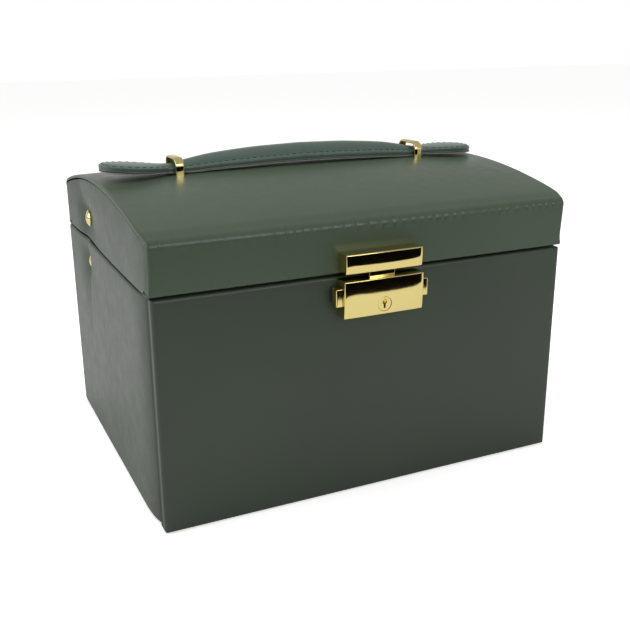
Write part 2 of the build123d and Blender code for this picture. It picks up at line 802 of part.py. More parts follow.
# Lock: a block with a tongue on the lid, a housing with two squeeze tabs and a key plug on the front panel
lock_depth = 9.8
lock_crown = 0.5  # how far the faces of both blocks bulge between their upper and lower edges
upper_half = 22.3
upper_rise = 1.1  # lid's lower edge to the upper block
upper_height = 10.3
housing_half = 23.2
housing_drop = 0.3  # case's upper edge to the housing
housing_height = 19.9
housing_wall = 1.2
housing_round = 1.0
tongue_half = 7.5
tongue_reach = 7.9  # how far the tongue goes down into the housing
tongue_back = 4.6  # front panel to the tongue's back face
tongue_thickness = 1.8
tongue_root = 5.0
tongue_room_front = 0.4
tongue_room_back = 3.6  # the housing moves forward this far before the tongue is out, and more
tab_rise = 6.5  # housing's lower edge to the tabs
tab_height = 9.5
tab_out = 27.2
tab_in = 15.0
tab_back = 1.9  # front panel to the tab's back face
tab_front = 7.6
tab_fit = 0.15
tab_collar = 2.6
tab_collar_rise = 1.0
tab_travel = 2.5
plug_rise = 5.7  # housing's lower edge to the plug's middle
plug_radius = 3.8
plug_inner_end = 2.2  # front panel to the plug's inner end
plug_flange = 4.4
plug_flange_thickness = 1.0
plug_recess = 0.5  # below the edge of the housing's crowned face
key_slot = 1.1
key_slot_height = 4.6
key_slot_depth = 4.0
key_round = 1.3
boss_height = 6.1
boss_inner = 7.0
lock_screw_x = 17.0
lock_screw_rise = 3.3
lock_screw_length = 14.0
plate_half = 26.0
plate_drop = 1.5  # housing's lower edge to the back plate's
plate_height = 9.0
plate_thickness = 1.0

upper_low = lid_bottom + upper_rise
upper_high = upper_low + upper_height
housing_high = body_height - housing_drop
housing_low = housing_high - housing_height
tongue_low = housing_high - tongue_reach
tab_low = housing_low + tab_rise
tab_high = tab_low + tab_height
plug_z = housing_low + plug_rise
boss_top = housing_low + boss_height
lock_screw_z = housing_low + lock_screw_rise
plate_low = housing_low - plate_drop
plate_high = plate_low + plate_height
housing_front = front_y - lock_depth
tongue_y = (front_y - tongue_back - tongue_thickness, front_y - tongue_back)
tab_y = (front_y - tab_front, front_y - tab_back)
cavity_front = housing_front + housing_wall


def crowned_block(half_x, z_span):
    """A lock block against the front, with its face crowned between its upper and lower edges."""
    low_z, high_z = z_span
    with BuildSketch(Plane.YZ.offset(-half_x), mode=Mode.PRIVATE) as profile:
        with BuildLine():
            face = ThreePointArc(
                (housing_front + lock_crown, low_z), (housing_front, (low_z + high_z) / 2),
                (housing_front + lock_crown, high_z),
            )
            Polyline(face @ 1, (front_y, high_z), (front_y, low_z), face @ 0)
        make_face()
    extrude(profile.sketch, amount=2 * half_x)


lock_screw_places = [
    Location((side * lock_screw_x, drawer_front, lock_screw_z), (-90, 0, 0)) for side in sides.values()
]

with BuildPart() as lock_tongue:
    block((-tongue_half, tongue_half), tongue_y, (tongue_low, upper_low + tongue_root))
    fillet(lock_tongue.edges().filter_by(Axis.Y).group_by(Axis.Z)[0], radius=tongue_thickness / 2)
save(lock_tongue, "lock_tongue")

with BuildPart() as lock_upper_block:
    crowned_block(upper_half, (upper_low, upper_high))
    fillet(lock_upper_block.faces().sort_by(Axis.Y)[0].edges(), radius=housing_round)
    root_span = (upper_low - overrun, upper_low + tongue_root)
    block((-tongue_half, tongue_half), tongue_y, root_span, mode=Mode.SUBTRACT)
save(lock_upper_block, "lock_upper_block")

with BuildPart() as lock_housing:
    crowned_block(housing_half, (housing_low, housing_high))
    fillet(lock_housing.faces().sort_by(Axis.Y)[0].edges(), radius=housing_round)
    cavity_half = housing_half - housing_wall
    cavity_y = (cavity_front, front_y + overrun)
    block((-cavity_half, cavity_half), cavity_y, (boss_top, housing_high - housing_wall), mode=Mode.SUBTRACT)
    block((-boss_inner, boss_inner), cavity_y, (housing_low + housing_wall, boss_top), mode=Mode.SUBTRACT)
    block(
        (-tongue_half - tongue_room_front, tongue_half + tongue_room_front),
        (tongue_y[0] - tongue_room_front, tongue_y[1] + tongue_room_back),
        (housing_high - housing_wall - overrun, housing_high + overrun), mode=Mode.SUBTRACT,
    )
    for side in sides.values():
        block(
            (side * (cavity_half - overrun), side * (housing_half + overrun)),
            (tab_y[0] - tab_fit, tab_y[1] + tab_fit), (tab_low - tab_fit, tab_high + tab_fit),
            mode=Mode.SUBTRACT,
        )
    wall_span = (housing_front - overrun, cavity_front + overrun)
    bar_y(plug_radius + running_clearance, wall_span, 0, plug_z, mode=Mode.SUBTRACT)
    screw_span = (drawer_front - lock_screw_length, front_y + overrun)
    for x in (-lock_screw_x, lock_screw_x):
        bar_y(screw_radius, screw_span, x, lock_screw_z, mode=Mode.SUBTRACT)
save(lock_housing, "lock_housing")

for label, side in sides.items():
    with BuildPart() as squeeze_tab:
        block((side * tab_in, side * tab_out), tab_y, (tab_low, tab_high))
        outer_face = squeeze_tab.faces().sort_by(Axis((0, 0, 0), (side, 0, 0)))[-1]
        fillet(outer_face.edges(), radius=edge_round)
        collar_x = side * (housing_half - housing_wall - side_play)
        block((collar_x - side * tab_collar, collar_x), tab_y, (tab_low, tab_high + tab_collar_rise))
    save(squeeze_tab, f"squeeze_tab_{label}")

# Springs that push the tabs out, each between a tab and a stop beside the tongue
spring_radius = 1.9
spring_bore = 1.4
spring_stop = 8.6
stop_thickness = 0.6
with BuildPart() as spring_stops:
    for side in sides.values():
        block(
            (side * (spring_stop - stop_thickness), side * spring_stop), (cavity_front, front_y),
            (boss_top, tab_high),
        )
save(spring_stops, "spring_stops")
for label, side in sides.items():
    with BuildPart() as tab_spring:
        spring_y, spring_z = (tab_y[0] + tab_y[1]) / 2, (tab_low + tab_high) / 2
        bar_x(spring_radius, (side * spring_stop, side * tab_in), spring_y, spring_z)
        bore_span = (side * (spring_stop - overrun), side * (tab_in + overrun))
        bar_x(spring_bore, bore_span, spring_y, spring_z, mode=Mode.SUBTRACT)
    save(tab_spring, f"tab_spring_{label}")

# Key plug, which turns in the housing
with BuildPart() as key_plug:
    plug_front = housing_front + plug_recess
    bar_y(plug_radius, (plug_front, front_y - plug_inner_end), 0, plug_z)
    flange_y = cavity_front + side_play
    bar_y(plug_flange, (flange_y, flange_y + plug_flange_thickness), 0, plug_z)
    slot_y = (plug_front - overrun, plug_front + key_slot_depth)
    slot_low, slot_high = plug_z - key_slot_height / 2, plug_z + key_slot_height / 2
    block((-key_slot / 2, key_slot / 2), slot_y, (slot_low, slot_high), mode=Mode.SUBTRACT)
    bar_y(key_round, slot_y, 0, slot_high - key_round, mode=Mode.SUBTRACT)
save(key_plug, "key_plug")

# Front panel: board and leather, with the lock's back plate let into its inner face
panel_low = base_sheet_thickness
with BuildPart() as front_board:
    board_z = (panel_low + leather, body_height - leather)
    block((-wall_outer, wall_outer), (front_y + leather, drawer_front), board_z)
    recess_y = (drawer_front - plate_thickness, drawer_front + overrun)
    block((-plate_half, plate_half), recess_y, (plate_low, plate_high), mode=Mode.SUBTRACT)
    for x in (-lock_screw_x, lock_screw_x):
        bar_y(screw_radius, (front_y, drawer_front), x, lock_screw_z, mode=Mode.SUBTRACT)
    countersunk_screws(front_screws, front_screw_length, mode=Mode.SUBTRACT)
save(front_board, "front_board")

with BuildPart() as front_cover:
    block((-panel_half, panel_half), (front_y, drawer_front), (panel_low, body_height))
    inner_y = (front_y + leather, drawer_front + overrun)
    block((-wall_outer, wall_outer), inner_y, board_z, mode=Mode.SUBTRACT)
    fillet(front_cover.edges().group_by(Axis.Y)[0], radius=edge_round)
    for x in (-lock_screw_x, lock_screw_x):
        bar_y(screw_radius, (front_y - overrun, drawer_front), x, lock_screw_z, mode=Mode.SUBTRACT)
save(front_cover, "front_cover")

with BuildPart() as lock_back_plate:
    block((-plate_half, plate_half), (drawer_front - plate_thickness, drawer_front), (plate_low, plate_high))
    countersunk_screws(lock_screw_places, lock_screw_length, mode=Mode.SUBTRACT)
save(lock_back_plate, "lock_back_plate")

with BuildPart() as lock_screws:
    countersunk_screws(lock_screw_places, lock_screw_length)
save(lock_screws, "lock_screws")

# Strap handle: a padded grip between the loops and two strap ends that slide in them
grip_lift = 14.0
strap_slide = 5.0
grip_inset = 8.5  # loop's middle to the grip's end
grip_end_rise = 3.3  # lid's crest to the grip's underside, at its ends
grip_end_thickness = 9.1
grip_mid_rise = 5.0
grip_mid_thickness = 10.6
grip_width = 19.0
grip_round = 3.0
strap_gap = 0.35
neck_half = 7.2
neck_length = 7.0  # loop's middle to where the leaf starts
strap_thickness = 4.4
leaf_half = 13.0
leaf_wide_inset = 17.5  # leaf's tip to where it is widest
leaf_tip_inset = 0.5  # lid's side to the leaf's tip
strap_clear = 1.0  # above the lid's cover, at the loops
lean = strap_slide / grip_lift
grip_half_top = loop_place - grip_inset
grip_end_low = crest + grip_end_rise
grip_end_top = grip_end_low + grip_end_thickness
grip_mid_low = crest + grip_mid_rise
grip_mid_top = grip_mid_low + grip_mid_thickness
leaf_tip = lid_half - leaf_tip_inset

with BuildPart() as handle_grip:
    low_half = grip_half_top - lean * grip_end_thickness
    with BuildSketch(Plane.XZ.offset(-grip_width / 2)):
        with BuildLine():
            top = ThreePointArc(
                (-grip_half_top, grip_end_top), (0, grip_mid_top), (grip_half_top, grip_end_top)
            )
            under = ThreePointArc(
                (low_half, grip_end_low), (0, grip_mid_low), (-low_half, grip_end_low)
            )
            Line(top @ 1, under @ 0)
            Line(under @ 1, top @ 0)
        make_face()
    extrude(amount=grip_width)
    long_edges = handle_grip.edges().filter_by(GeomType.CIRCLE).sort_by(Axis.Z)
    fillet(long_edges, radius=grip_round)
save(handle_grip, "handle_grip")


def cover_height(x):
    """Height of the lid's cover over the middle line, at a place along X."""
    return crest + dome_crown - crown_radius + sqrt(crown_radius**2 - x**2)


# The strap ends leave the loops level, while the cover falls away under them
strap_low = cover_height(loop_place) + strap_clear
for label, side in sides.items():
    with BuildPart() as strap_end:
        strap_plane = Plane(origin=(side * loop_place, 0, strap_low), x_dir=(1, 0, 0), z_dir=(0, 0, 1))
        inner_end = side * (low_half - grip_end_thickness - loop_place)
        with BuildSketch(strap_plane):
            with BuildLine():
                tip = (side * (leaf_tip - loop_place), 0)
                flank = Spline(
                    (side * neck_length, neck_half),
                    (side * (leaf_tip - leaf_wide_inset - loop_place), leaf_half),
                    tip, tangents=[(side, 0), (0, -1)],
                )
                Polyline(tip, (inner_end, 0), (inner_end, neck_half), flank @ 0)
            make_face()
            mirror(about=Plane.XZ)
        extrude(amount=strap_thickness)
        # The inner end leans as the grip's end does, so that the grip lifts off it
        with BuildSketch(Plane.XZ.offset(-grip_width)):
            with BuildLine():
                reach = grip_half_top + strap_gap
                cut_drop = 2 * grip_end_thickness
                Polyline(
                    (0, grip_end_top), (side * reach, grip_end_top),
                    (side * (reach - lean * cut_drop), grip_end_top - cut_drop),
                    (0, grip_end_top - cut_drop), close=True,
                )
            make_face()
        extrude(amount=2 * grip_width, mode=Mode.SUBTRACT)
    save(strap_end, f"strap_end_{label}")

print(f"hinge line at y {hinge_y:.2f}, z {hinge_z:.2f}")
print(f"lever and link meet at y {joint_y:.2f}, z {joint_z:.2f}")
print(f"drawer travels {bottom_travel:.3f} and {middle_travel:.3f}")
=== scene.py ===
# %% [markdown]
# A small trunk-shaped jewellery case: leatherette over padded board, an arched lid, a strap handle held in two
# gold loops, and a squeeze lock. As the lid opens, two levers draw the trays forward like a flight of steps.
# The hard parts inside come ready made, as a fixed frame. This lesson dresses them: it builds every leather skin,
# soft pad, gold fitting and velvet lining as a mesh, and gives each a material that starts from the real stuff.
# Everything is in metres, and the case stands where the frame stands: +X right, -Y out of the front, +Z up.

# %% Load the frame
import json
import math

import bmesh
import bpy
import numpy as np
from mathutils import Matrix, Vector, noise


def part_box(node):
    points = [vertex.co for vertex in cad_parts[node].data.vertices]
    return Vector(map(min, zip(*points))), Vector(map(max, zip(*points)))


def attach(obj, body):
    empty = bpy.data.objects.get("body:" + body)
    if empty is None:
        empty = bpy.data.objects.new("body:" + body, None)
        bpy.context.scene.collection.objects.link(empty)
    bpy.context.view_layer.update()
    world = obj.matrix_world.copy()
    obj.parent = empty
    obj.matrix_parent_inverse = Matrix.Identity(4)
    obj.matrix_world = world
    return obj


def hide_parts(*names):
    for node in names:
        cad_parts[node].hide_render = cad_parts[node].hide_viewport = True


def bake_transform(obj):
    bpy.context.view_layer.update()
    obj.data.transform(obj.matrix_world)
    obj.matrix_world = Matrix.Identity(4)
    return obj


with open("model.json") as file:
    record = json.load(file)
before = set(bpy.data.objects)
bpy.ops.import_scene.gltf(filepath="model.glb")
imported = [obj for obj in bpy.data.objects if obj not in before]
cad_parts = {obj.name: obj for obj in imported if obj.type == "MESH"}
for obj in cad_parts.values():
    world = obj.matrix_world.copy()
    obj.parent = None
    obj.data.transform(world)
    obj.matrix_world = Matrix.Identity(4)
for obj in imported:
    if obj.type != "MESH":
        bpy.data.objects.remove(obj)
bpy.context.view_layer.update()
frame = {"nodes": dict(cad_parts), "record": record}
mm = 0.001
sides = {"left": -1, "right": 1}
print("pieces in the frame:", len(frame["nodes"]))

# %% [markdown]
# The camera stands in front of the case's left corner, a little above the lid. Its place and lens were worked out
# from the case's corners, whose real distances are known, so it frames the case as a product photographer would.

# %% Camera
camera_place = Vector((-217.7, -488.4, 247.7)) * mm
camera_yaw = math.radians(24.98)
camera_pitch = math.radians(18.14)
camera_roll = math.radians(-0.38)
sensor_width = 36.0
image_width = 630
focal_pixels = 885.1

camera_data = bpy.data.cameras.new("camera")
camera_data.sensor_fit = "HORIZONTAL"
camera_data.sensor_width = sensor_width
camera_data.lens = focal_pixels / image_width * sensor_width
camera = bpy.data.objects.new("camera", camera_data)
bpy.context.scene.collection.objects.link(camera)
camera.location = camera_place
camera.rotation_euler = (math.pi / 2 - camera_pitch, 0.0, -camera_yaw)
camera.rotation_euler.rotate_axis("Z", camera_roll)
bpy.context.scene.camera = camera
bpy.context.scene.view_settings.view_transform = "Standard"
print("lens", round(camera_data.lens, 2), "mm")

# %% [markdown]
# Colours are written as sRGB hex values, the way a colour picker shows them, and one function turns them into
# the linear values that a renderer mixes light with. A second small function adds a shader node, gives it its
# settings and links its inputs, so that a material reads from top to bottom like a recipe. A third makes an
# object from points and faces.


# %% Colour, node and mesh helpers
def linear(hex_colour):
    """An sRGB hex colour as linear red, green, blue and alpha."""
    parts = [int(hex_colour[i:i + 2], 16) / 255 for i in (1, 3, 5)]
    return [p / 12.92 if p <= 0.04045 else ((p + 0.055) / 1.055) ** 2.4 for p in parts] + [1.0]


def add_node(material, kind, inputs=None, **settings):
    """Add a shader node with its settings. An input is a value, or a link from a node: (node, output name)."""
    tree = material.node_tree
    node = tree.nodes.new("ShaderNode" + kind)
    for name, value in settings.items():
        setattr(node, name, value)
    for name, value in (inputs or {}).items():
        if isinstance(value, tuple) and isinstance(value[0], bpy.types.Node):
            tree.links.new(value[0].outputs[value[1]], node.inputs[name])
        else:
            node.inputs[name].default_value = value
    return node


def new_material(name):
    """An empty material, ready for nodes."""
    material = bpy.data.materials.new(name)
    material.use_nodes = True
    material.node_tree.nodes.clear()
    return material


def add_piece(name, points, faces, *materials):
    """A smooth mesh object from points and faces."""
    mesh = bpy.data.meshes.new(name)
    mesh.from_pydata([tuple(p) for p in points], [], faces)
    mesh.polygons.foreach_set("use_smooth", [True] * len(mesh.polygons))
    mesh.update()
    piece = bpy.data.objects.new(name, mesh)
    bpy.context.scene.collection.objects.link(piece)
    for material in materials:
        piece.data.materials.append(material)
    return piece


# %% [markdown]
# The studio: a pale floor that runs out of sight, a white surround, and three soft boxes. The floor glows a little
# towards the camera alone, so that the picture's ground is white while the case is lit at a plain level. Seen in
# gloss, the surround dims from a pale horizon to a grey ceiling, as a room does.

# %% Floor and surround
white = linear("#ffffff")
floor_half = 4.0
floor_white = "#f4f4f3"
floor_glow = 0.55
surround_light = 0.46
horizon_white = 0.9
ceiling_grey = 0.5
horizon_height = 0.05
ceiling_height = 0.34

floor_material = new_material("matt_studio_floor")
floor_seen = add_node(floor_material, "LightPath")
glow = add_node(floor_material, "Math", {0: (floor_seen, "Is Camera Ray"), 1: floor_glow}, operation="MULTIPLY")
floor_paint = add_node(floor_material, "BsdfDiffuse", {"Color": linear(floor_white)})
floor_light = add_node(floor_material, "Emission", {"Color": white, "Strength": (glow, "Value")})
floor_both = add_node(floor_material, "AddShader", {0: (floor_paint, "BSDF"), 1: (floor_light, "Emission")})
add_node(floor_material, "OutputMaterial", {"Surface": (floor_both, "Shader")})
floor_corners = [(x * floor_half, y * floor_half, 0) for x, y in ((-1, -1), (1, -1), (1, 1), (-1, 1))]
add_piece("floor", floor_corners, [(0, 1, 2, 3)], floor_material)

# %% White surround
world = bpy.data.worlds.new("white_surround")
world.use_nodes = True
world.node_tree.nodes.clear()
world_way = add_node(world, "TexCoord")
world_up = add_node(world, "SeparateXYZ", {"Vector": (world_way, "Generated")})
world_shade = add_node(
    world, "MapRange",
    {
        "Value": (world_up, "Z"), "From Min": horizon_height, "From Max": ceiling_height,
        "To Min": horizon_white, "To Max": ceiling_grey,
    },
    interpolation_type="SMOOTHSTEP",
)
plain_light, shown_light, white_ground = (
    add_node(world, "Background", {"Color": white, "Strength": strength})
    for strength in (surround_light, (world_shade, "Result"), 1.0)
)
ray = add_node(world, "LightPath")
mirrored = add_node(world, "Math", {0: (ray, "Is Glossy Ray"), 1: (ray, "Is Transmission Ray")}, operation="MAXIMUM")
world_mix = add_node(
    world, "MixShader",
    {0: (mirrored, "Value"), 1: (plain_light, "Background"), 2: (shown_light, "Background")},
)
world_both = add_node(
    world, "MixShader",
    {0: (ray, "Is Camera Ray"), 1: (world_mix, "Shader"), 2: (white_ground, "Background")},
)
add_node(world, "OutputWorld", {"Surface": (world_both, "Shader")})
bpy.context.scene.world = world
print("surround: white", horizon_white, "at the horizon and grey", ceiling_grey, "above")

# %% [markdown]
# Polished gold looks like gold only if it has something dark to mirror as well. A black card stands across the
# front, just beyond the bright pool of floor. Gloss alone sees it: it throws no shadow and hides nothing.

# %% Black card and soft boxes
card_y = -0.40
card_left, card_right = -0.8, 0.27
card_low, card_high = 0.012, 0.17

card_material = new_material("black_flocked_card")
card_paint = add_node(card_material, "BsdfDiffuse", {"Color": linear("#0d0c0b")})
add_node(card_material, "OutputMaterial", {"Surface": (card_paint, "BSDF")})
card_corners = ((card_left, card_low), (card_right, card_low), (card_right, card_high), (card_left, card_high))
card = add_piece("black_card", [(x, card_y, z) for x, z in card_corners], [(0, 1, 2, 3)], card_material)
card.visible_camera = card.visible_diffuse = card.visible_shadow = card.visible_transmission = False


def soft_box(name, place, aim, size, watts, height=None):
    """A soft box, facing the point that it aims at: square, or a strip of the given height."""
    lamp = bpy.data.lights.new(name, "AREA")
    lamp.shape = "RECTANGLE"
    lamp.size = size
    lamp.size_y = height or size
    lamp.energy = watts
    holder = bpy.data.objects.new(name, lamp)
    holder.location = place
    holder.rotation_euler = (Vector(aim) - Vector(place)).to_track_quat("-Z", "Y").to_euler()
    bpy.context.scene.collection.objects.link(holder)
    return holder


lid_middle = (0, 0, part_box("lid_cover")[1].z)
overhead = soft_box("overhead_box", (-0.1, 0.15, 1.1), lid_middle, 0.9, 7.2)
overhead.visible_glossy = False
soft_box("left_box", (-1.0, 0.25, 0.45), lid_middle, 0.7, 3.0)
soft_box("front_strip", (0.15, -1.0, 0.52), lid_middle, 0.7, 2.7, height=0.26)

# %% [markdown]
# Leatherette is a cloth coated with polyurethane (PU). The coat is cast smooth and semi-matt, so it gives a
# soft, broad sheen where the light grazes it, and a grain so fine that only close up it breaks the gloss.
# The grain is drawn 0.5 mm wide, a little coarser than real, so that it still shows in a picture this size.

# %% Leatherette
grain = 0.5 * mm
slub_size = 7 * mm
colour_drift = 60 * mm
gloss_drift = 0.03
coat_ior = 1.46


def leatherette(name, deep, pale, roughness):
    """PU-coated cloth: a deep colour with slow drifts to a paler one, and a fine pressed grain."""
    material = new_material(name)
    place = add_node(material, "TexCoord")
    drift = add_node(material, "TexNoise", {"Vector": (place, "Object"), "Scale": 1 / colour_drift, "Detail": 3.0})
    tint = add_node(material, "Mix", {"Factor": (drift, "Fac"), 6: linear(deep), 7: linear(pale)}, data_type="RGBA")
    cells = add_node(material, "TexVoronoi", {"Vector": (place, "Object"), "Scale": 1 / grain}, feature="SMOOTH_F1")
    slub = add_node(material, "TexNoise", {"Vector": (place, "Object"), "Scale": 1 / slub_size, "Detail": 4.0})
    pressed = add_node(material, "Bump", {"Height": (cells, "Distance"), "Strength": 0.12, "Distance": 0.06 * mm})
    uneven = add_node(
        material, "Bump",
        {"Height": (slub, "Fac"), "Normal": (pressed, "Normal"), "Strength": 0.12, "Distance": 0.08 * mm},
    )
    gloss = add_node(
        material, "MapRange",
        {
            "Value": (slub, "Fac"), "From Min": 0.3, "From Max": 0.7,
            "To Min": roughness - gloss_drift, "To Max": roughness + gloss_drift,
        },
    )
    coat = add_node(
        material, "BsdfPrincipled",
        {"Base Color": (tint, 2), "Roughness": (gloss, "Result"), "Normal": (uneven, "Normal"), "IOR": coat_ior},
    )
    add_node(material, "OutputMaterial", {"Surface": (coat, "BSDF")})
    return material


case_leather = leatherette("green_pu_leatherette", "#2e392d", "#343f32", 0.40)
# The lid's sheet is the same leatherette as the case's, painted lighter: painted light for the extra light that its
# front and dome catch.
lid_sheet_leather = leatherette("green_pu_leatherette_lid_painted_lighter", "#394736", "#404e3c", 0.36)
handle_leather = leatherette("blue_green_pu_strap_leatherette", "#44544b", "#4e5e55", 0.30)
print("grain", round(grain / mm, 2), "mm wide, on three leathers")

# %% [markdown]
# The fittings are zinc castings, polished and gold plated. Gold needs no bump: what the eye reads is the mirror
# image in it, so the metal is very smooth, with only a faint waviness from the polishing wheel.


# %% Gold and steel
def polished_metal(name, colour, roughness, wave, wave_height):
    """A plated metal with a slight waviness of the given size, left by polishing or rolling."""
    material = new_material(name)
    place = add_node(material, "TexCoord")
    ripple = add_node(material, "TexNoise", {"Vector": (place, "Object"), "Scale": 1 / wave, "Detail": 2.0})
    bump = add_node(material, "Bump", {"Height": (ripple, "Fac"), "Strength": 0.4, "Distance": wave_height})
    wear = add_node(
        material, "MapRange", {"Value": (ripple, "Fac"), "To Min": roughness * 0.8, "To Max": roughness * 1.3}
    )
    metal = add_node(
        material, "BsdfPrincipled",
        {"Base Color": linear(colour), "Metallic": 1.0, "Roughness": (wear, "Result"), "Normal": (bump, "Normal")},
    )
    add_node(material, "OutputMaterial", {"Surface": (metal, "BSDF")})
    return material


gold = polished_metal("gold_plated_zinc", "#e2d08a", 0.05, 9 * mm, 0.03 * mm)
steel = polished_metal("zinc_plated_steel", "#b9bcc0", 0.32, 2 * mm, 0.04 * mm)
print("metals:", gold.name, steel.name)

# %% [markdown]
# Velvet is a short pile of fibres that stand up from a cloth. They scatter light back at the edges, which a
# sheen layer copies, and lean this way and that in soft patches, which a slow noise in the colour copies. Felt is
# needled from such fibres. Sanded fibre board is pressed from short ones in a warm brown, and the cut edge of the
# strap's lower layer is split leather, undyed: a fuzzy pinkish grey. So one recipe serves all four.


# %% Velvet, felt, fibre board and raw edge
def fibrous(name, deep, pale, patch, fibre, relief, roughness, sheen):
    """A surface of fibres. patch and fibre are the size and detail of its colour's noise and its relief's."""
    material = new_material(name)
    place = add_node(material, "TexCoord")
    lean, pile = (
        add_node(material, "TexNoise", {"Vector": (place, "Object"), "Scale": 1 / width, "Detail": detail})
        for width, detail in (patch, fibre)
    )
    tint = add_node(material, "Mix", {"Factor": (lean, "Fac"), 6: linear(deep), 7: linear(pale)}, data_type="RGBA")
    bump = add_node(material, "Bump", {"Height": (pile, "Fac"), "Strength": relief[0], "Distance": relief[1]})
    surface = {"Base Color": (tint, 2), "Roughness": roughness, "Normal": (bump, "Normal")}
    cloth = add_node(material, "BsdfPrincipled", surface | sheen)
    add_node(material, "OutputMaterial", {"Surface": (cloth, "BSDF")})
    return material


velvet_sheen = {"Sheen Weight": 0.5, "Sheen Roughness": 0.4, "Sheen Tint": linear("#c2ad8e")}
felt_sheen = {"Sheen Weight": 0.2, "Sheen Roughness": 0.4, "Sheen Tint": linear("#2b312a")}
leaning, wood_fibre, split_fuzz = (18 * mm, 5.0), (1.5 * mm, 6.0), (0.8 * mm, 4.0)
velvet = fibrous(
    "sand_velvet", "#a08a6c", "#c2ad8e", leaning, (0.4 * mm, 3.0), (0.5, 0.15 * mm), 0.95, velvet_sheen
)
felt = fibrous("needled_felt", "#20251f", "#2b312a", leaning, (0.6 * mm, 3.0), (0.5, 0.15 * mm), 0.95, felt_sheen)
board = fibrous("sanded_fibre_board", "#8d6a45", "#b08a5f", wood_fibre, wood_fibre, (0.3, 0.1 * mm), 0.8, {})
suede = fibrous(
    "raw_split_edge", "#57524f", "#9a928e", split_fuzz, split_fuzz, (0.6, 0.2 * mm), 0.9, {"Sheen Weight": 0.3}
)
print("fibrous surfaces:", velvet.name, felt.name, board.name, suede.name)

# %% [markdown]
# The thread is twisted polyester, waxed. Its plies run round it as a fine helix, which a slanting wave copies. The
# mirror is clear float glass over silver, which the eye reads as one very smooth metal.

# %% Thread and mirror
ply_width = 0.8 * mm

thread = new_material("waxed_polyester_thread")
thread_place = add_node(thread, "TexCoord")
ply = add_node(
    thread, "TexWave", {"Vector": (thread_place, "Object"), "Scale": 1 / ply_width, "Distortion": 1.0},
    bands_direction="DIAGONAL",
)
ply_bump = add_node(thread, "Bump", {"Height": (ply, "Fac"), "Strength": 0.4, "Distance": 0.06 * mm})
waxed = add_node(
    thread, "BsdfPrincipled", {"Base Color": linear("#2f5a50"), "Roughness": 0.5, "Normal": (ply_bump, "Normal")}
)
add_node(thread, "OutputMaterial", {"Surface": (waxed, "BSDF")})

mirror_glass = new_material("silvered_float_glass")
silver = add_node(
    mirror_glass, "BsdfPrincipled", {"Base Color": linear("#eef2f1"), "Metallic": 1.0, "Roughness": 0.02}
)
add_node(mirror_glass, "OutputMaterial", {"Surface": (silver, "BSDF")})
print("materials:", len(bpy.data.materials))

# %% [markdown]
# Mesh helpers. A covered panel is a grid of points: close together where an edge turns over, evenly spaced
# between. Its border runs back to a flat plane, which closes it. That is how leather or velvet goes over a board,
# and it gives each edge a true rounding instead of a sharp fold.

# %% Dressing a node, applying modifiers, turning faces outwards
record = frame["record"]
body_of = {node: body for body, nodes in record["behaviour"]["bodies"].items() for node in nodes}
slot_of = {part["node"]: part["material_slot"] for part in record["subparts"]}


def dress(piece, node, *more, fill=None):
    """Let a piece stand for one or more nodes of the frame, with the first one's body."""
    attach(piece, body_of[node])
    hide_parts(node, *more)
    print(piece.name, "stands for", node, *more, "with", len(piece.data.polygons), "faces")
    return piece


def apply_modifiers(piece):
    """Give a piece the mesh that its modifiers make."""
    bpy.context.view_layer.update()
    finished = bpy.data.meshes.new_from_object(piece.evaluated_get(bpy.context.evaluated_depsgraph_get()))
    piece.modifiers.clear()
    piece.data = finished


def outward(piece):
    """Turn every face of a closed mesh outwards."""
    mesh = bmesh.new()
    mesh.from_mesh(piece.data)
    bmesh.ops.recalc_face_normals(mesh, faces=mesh.faces)
    mesh.to_mesh(piece.data)
    mesh.free()
    return piece


# %% Faces of grids and tubes
def grid_faces(wide, high):
    """Faces of a grid of points that are numbered column by column."""
    return [
        (i * high + j, (i + 1) * high + j, (i + 1) * high + j + 1, i * high + j + 1)
        for i in range(wide - 1) for j in range(high - 1)
    ]


def tube_faces(rings, count, base=0):
    """Faces of a tube of rings of points, closed by one face at each end."""
    ends = [tuple(range(base + i * count, base + (i + 1) * count)) for i in (0, rings - 1)]
    walls = []
    for i in range(base, base + (rings - 1) * count, count):
        for k in range(count):
            a, b = i + k, i + (k + 1) % count
            walls.append((a, b, b + count, a + count))
    return walls + ends


# %% Soft steps and rounded edges
def smooth(t):
    """A soft step from 0 to 1."""
    t = min(1.0, max(0.0, t))
    return t * t * (3 - 2 * t)


def spread(low, high, edge, count):
    """Places from low to high: close together over both rounded edges, even between."""
    turns = [edge * (1 - math.cos(math.radians(a))) for a in (0, 18, 36, 54, 72)]
    middle = list(np.linspace(low + edge, high - edge, count))
    return [low + t for t in turns] + middle + [high - t for t in reversed(turns)]


def fall(distance, edge):
    """How far a rounded edge has dropped at a distance in from the border."""
    if distance >= edge:
        return 0.0
    return edge - math.sqrt(max(0.0, edge**2 - (edge - distance) ** 2))


def round_corner(p, q, p_ends, q_ends, corner):
    """Draw a grid's square corners in to round ones."""
    p_end, p_way = (p_ends[0], 1) if p - p_ends[0] < p_ends[1] - p else (p_ends[1], -1)
    q_end, q_way = (q_ends[0], 1) if q - q_ends[0] < q_ends[1] - q else (q_ends[1], -1)
    a = corner - abs(p - p_end)
    b = corner - abs(q - q_end)
    if a <= 0 or b <= 0:
        return p, q
    shrink = max(a, b) / math.hypot(a, b)
    return p_end + p_way * (corner - a * shrink), q_end + q_way * (corner - b * shrink)


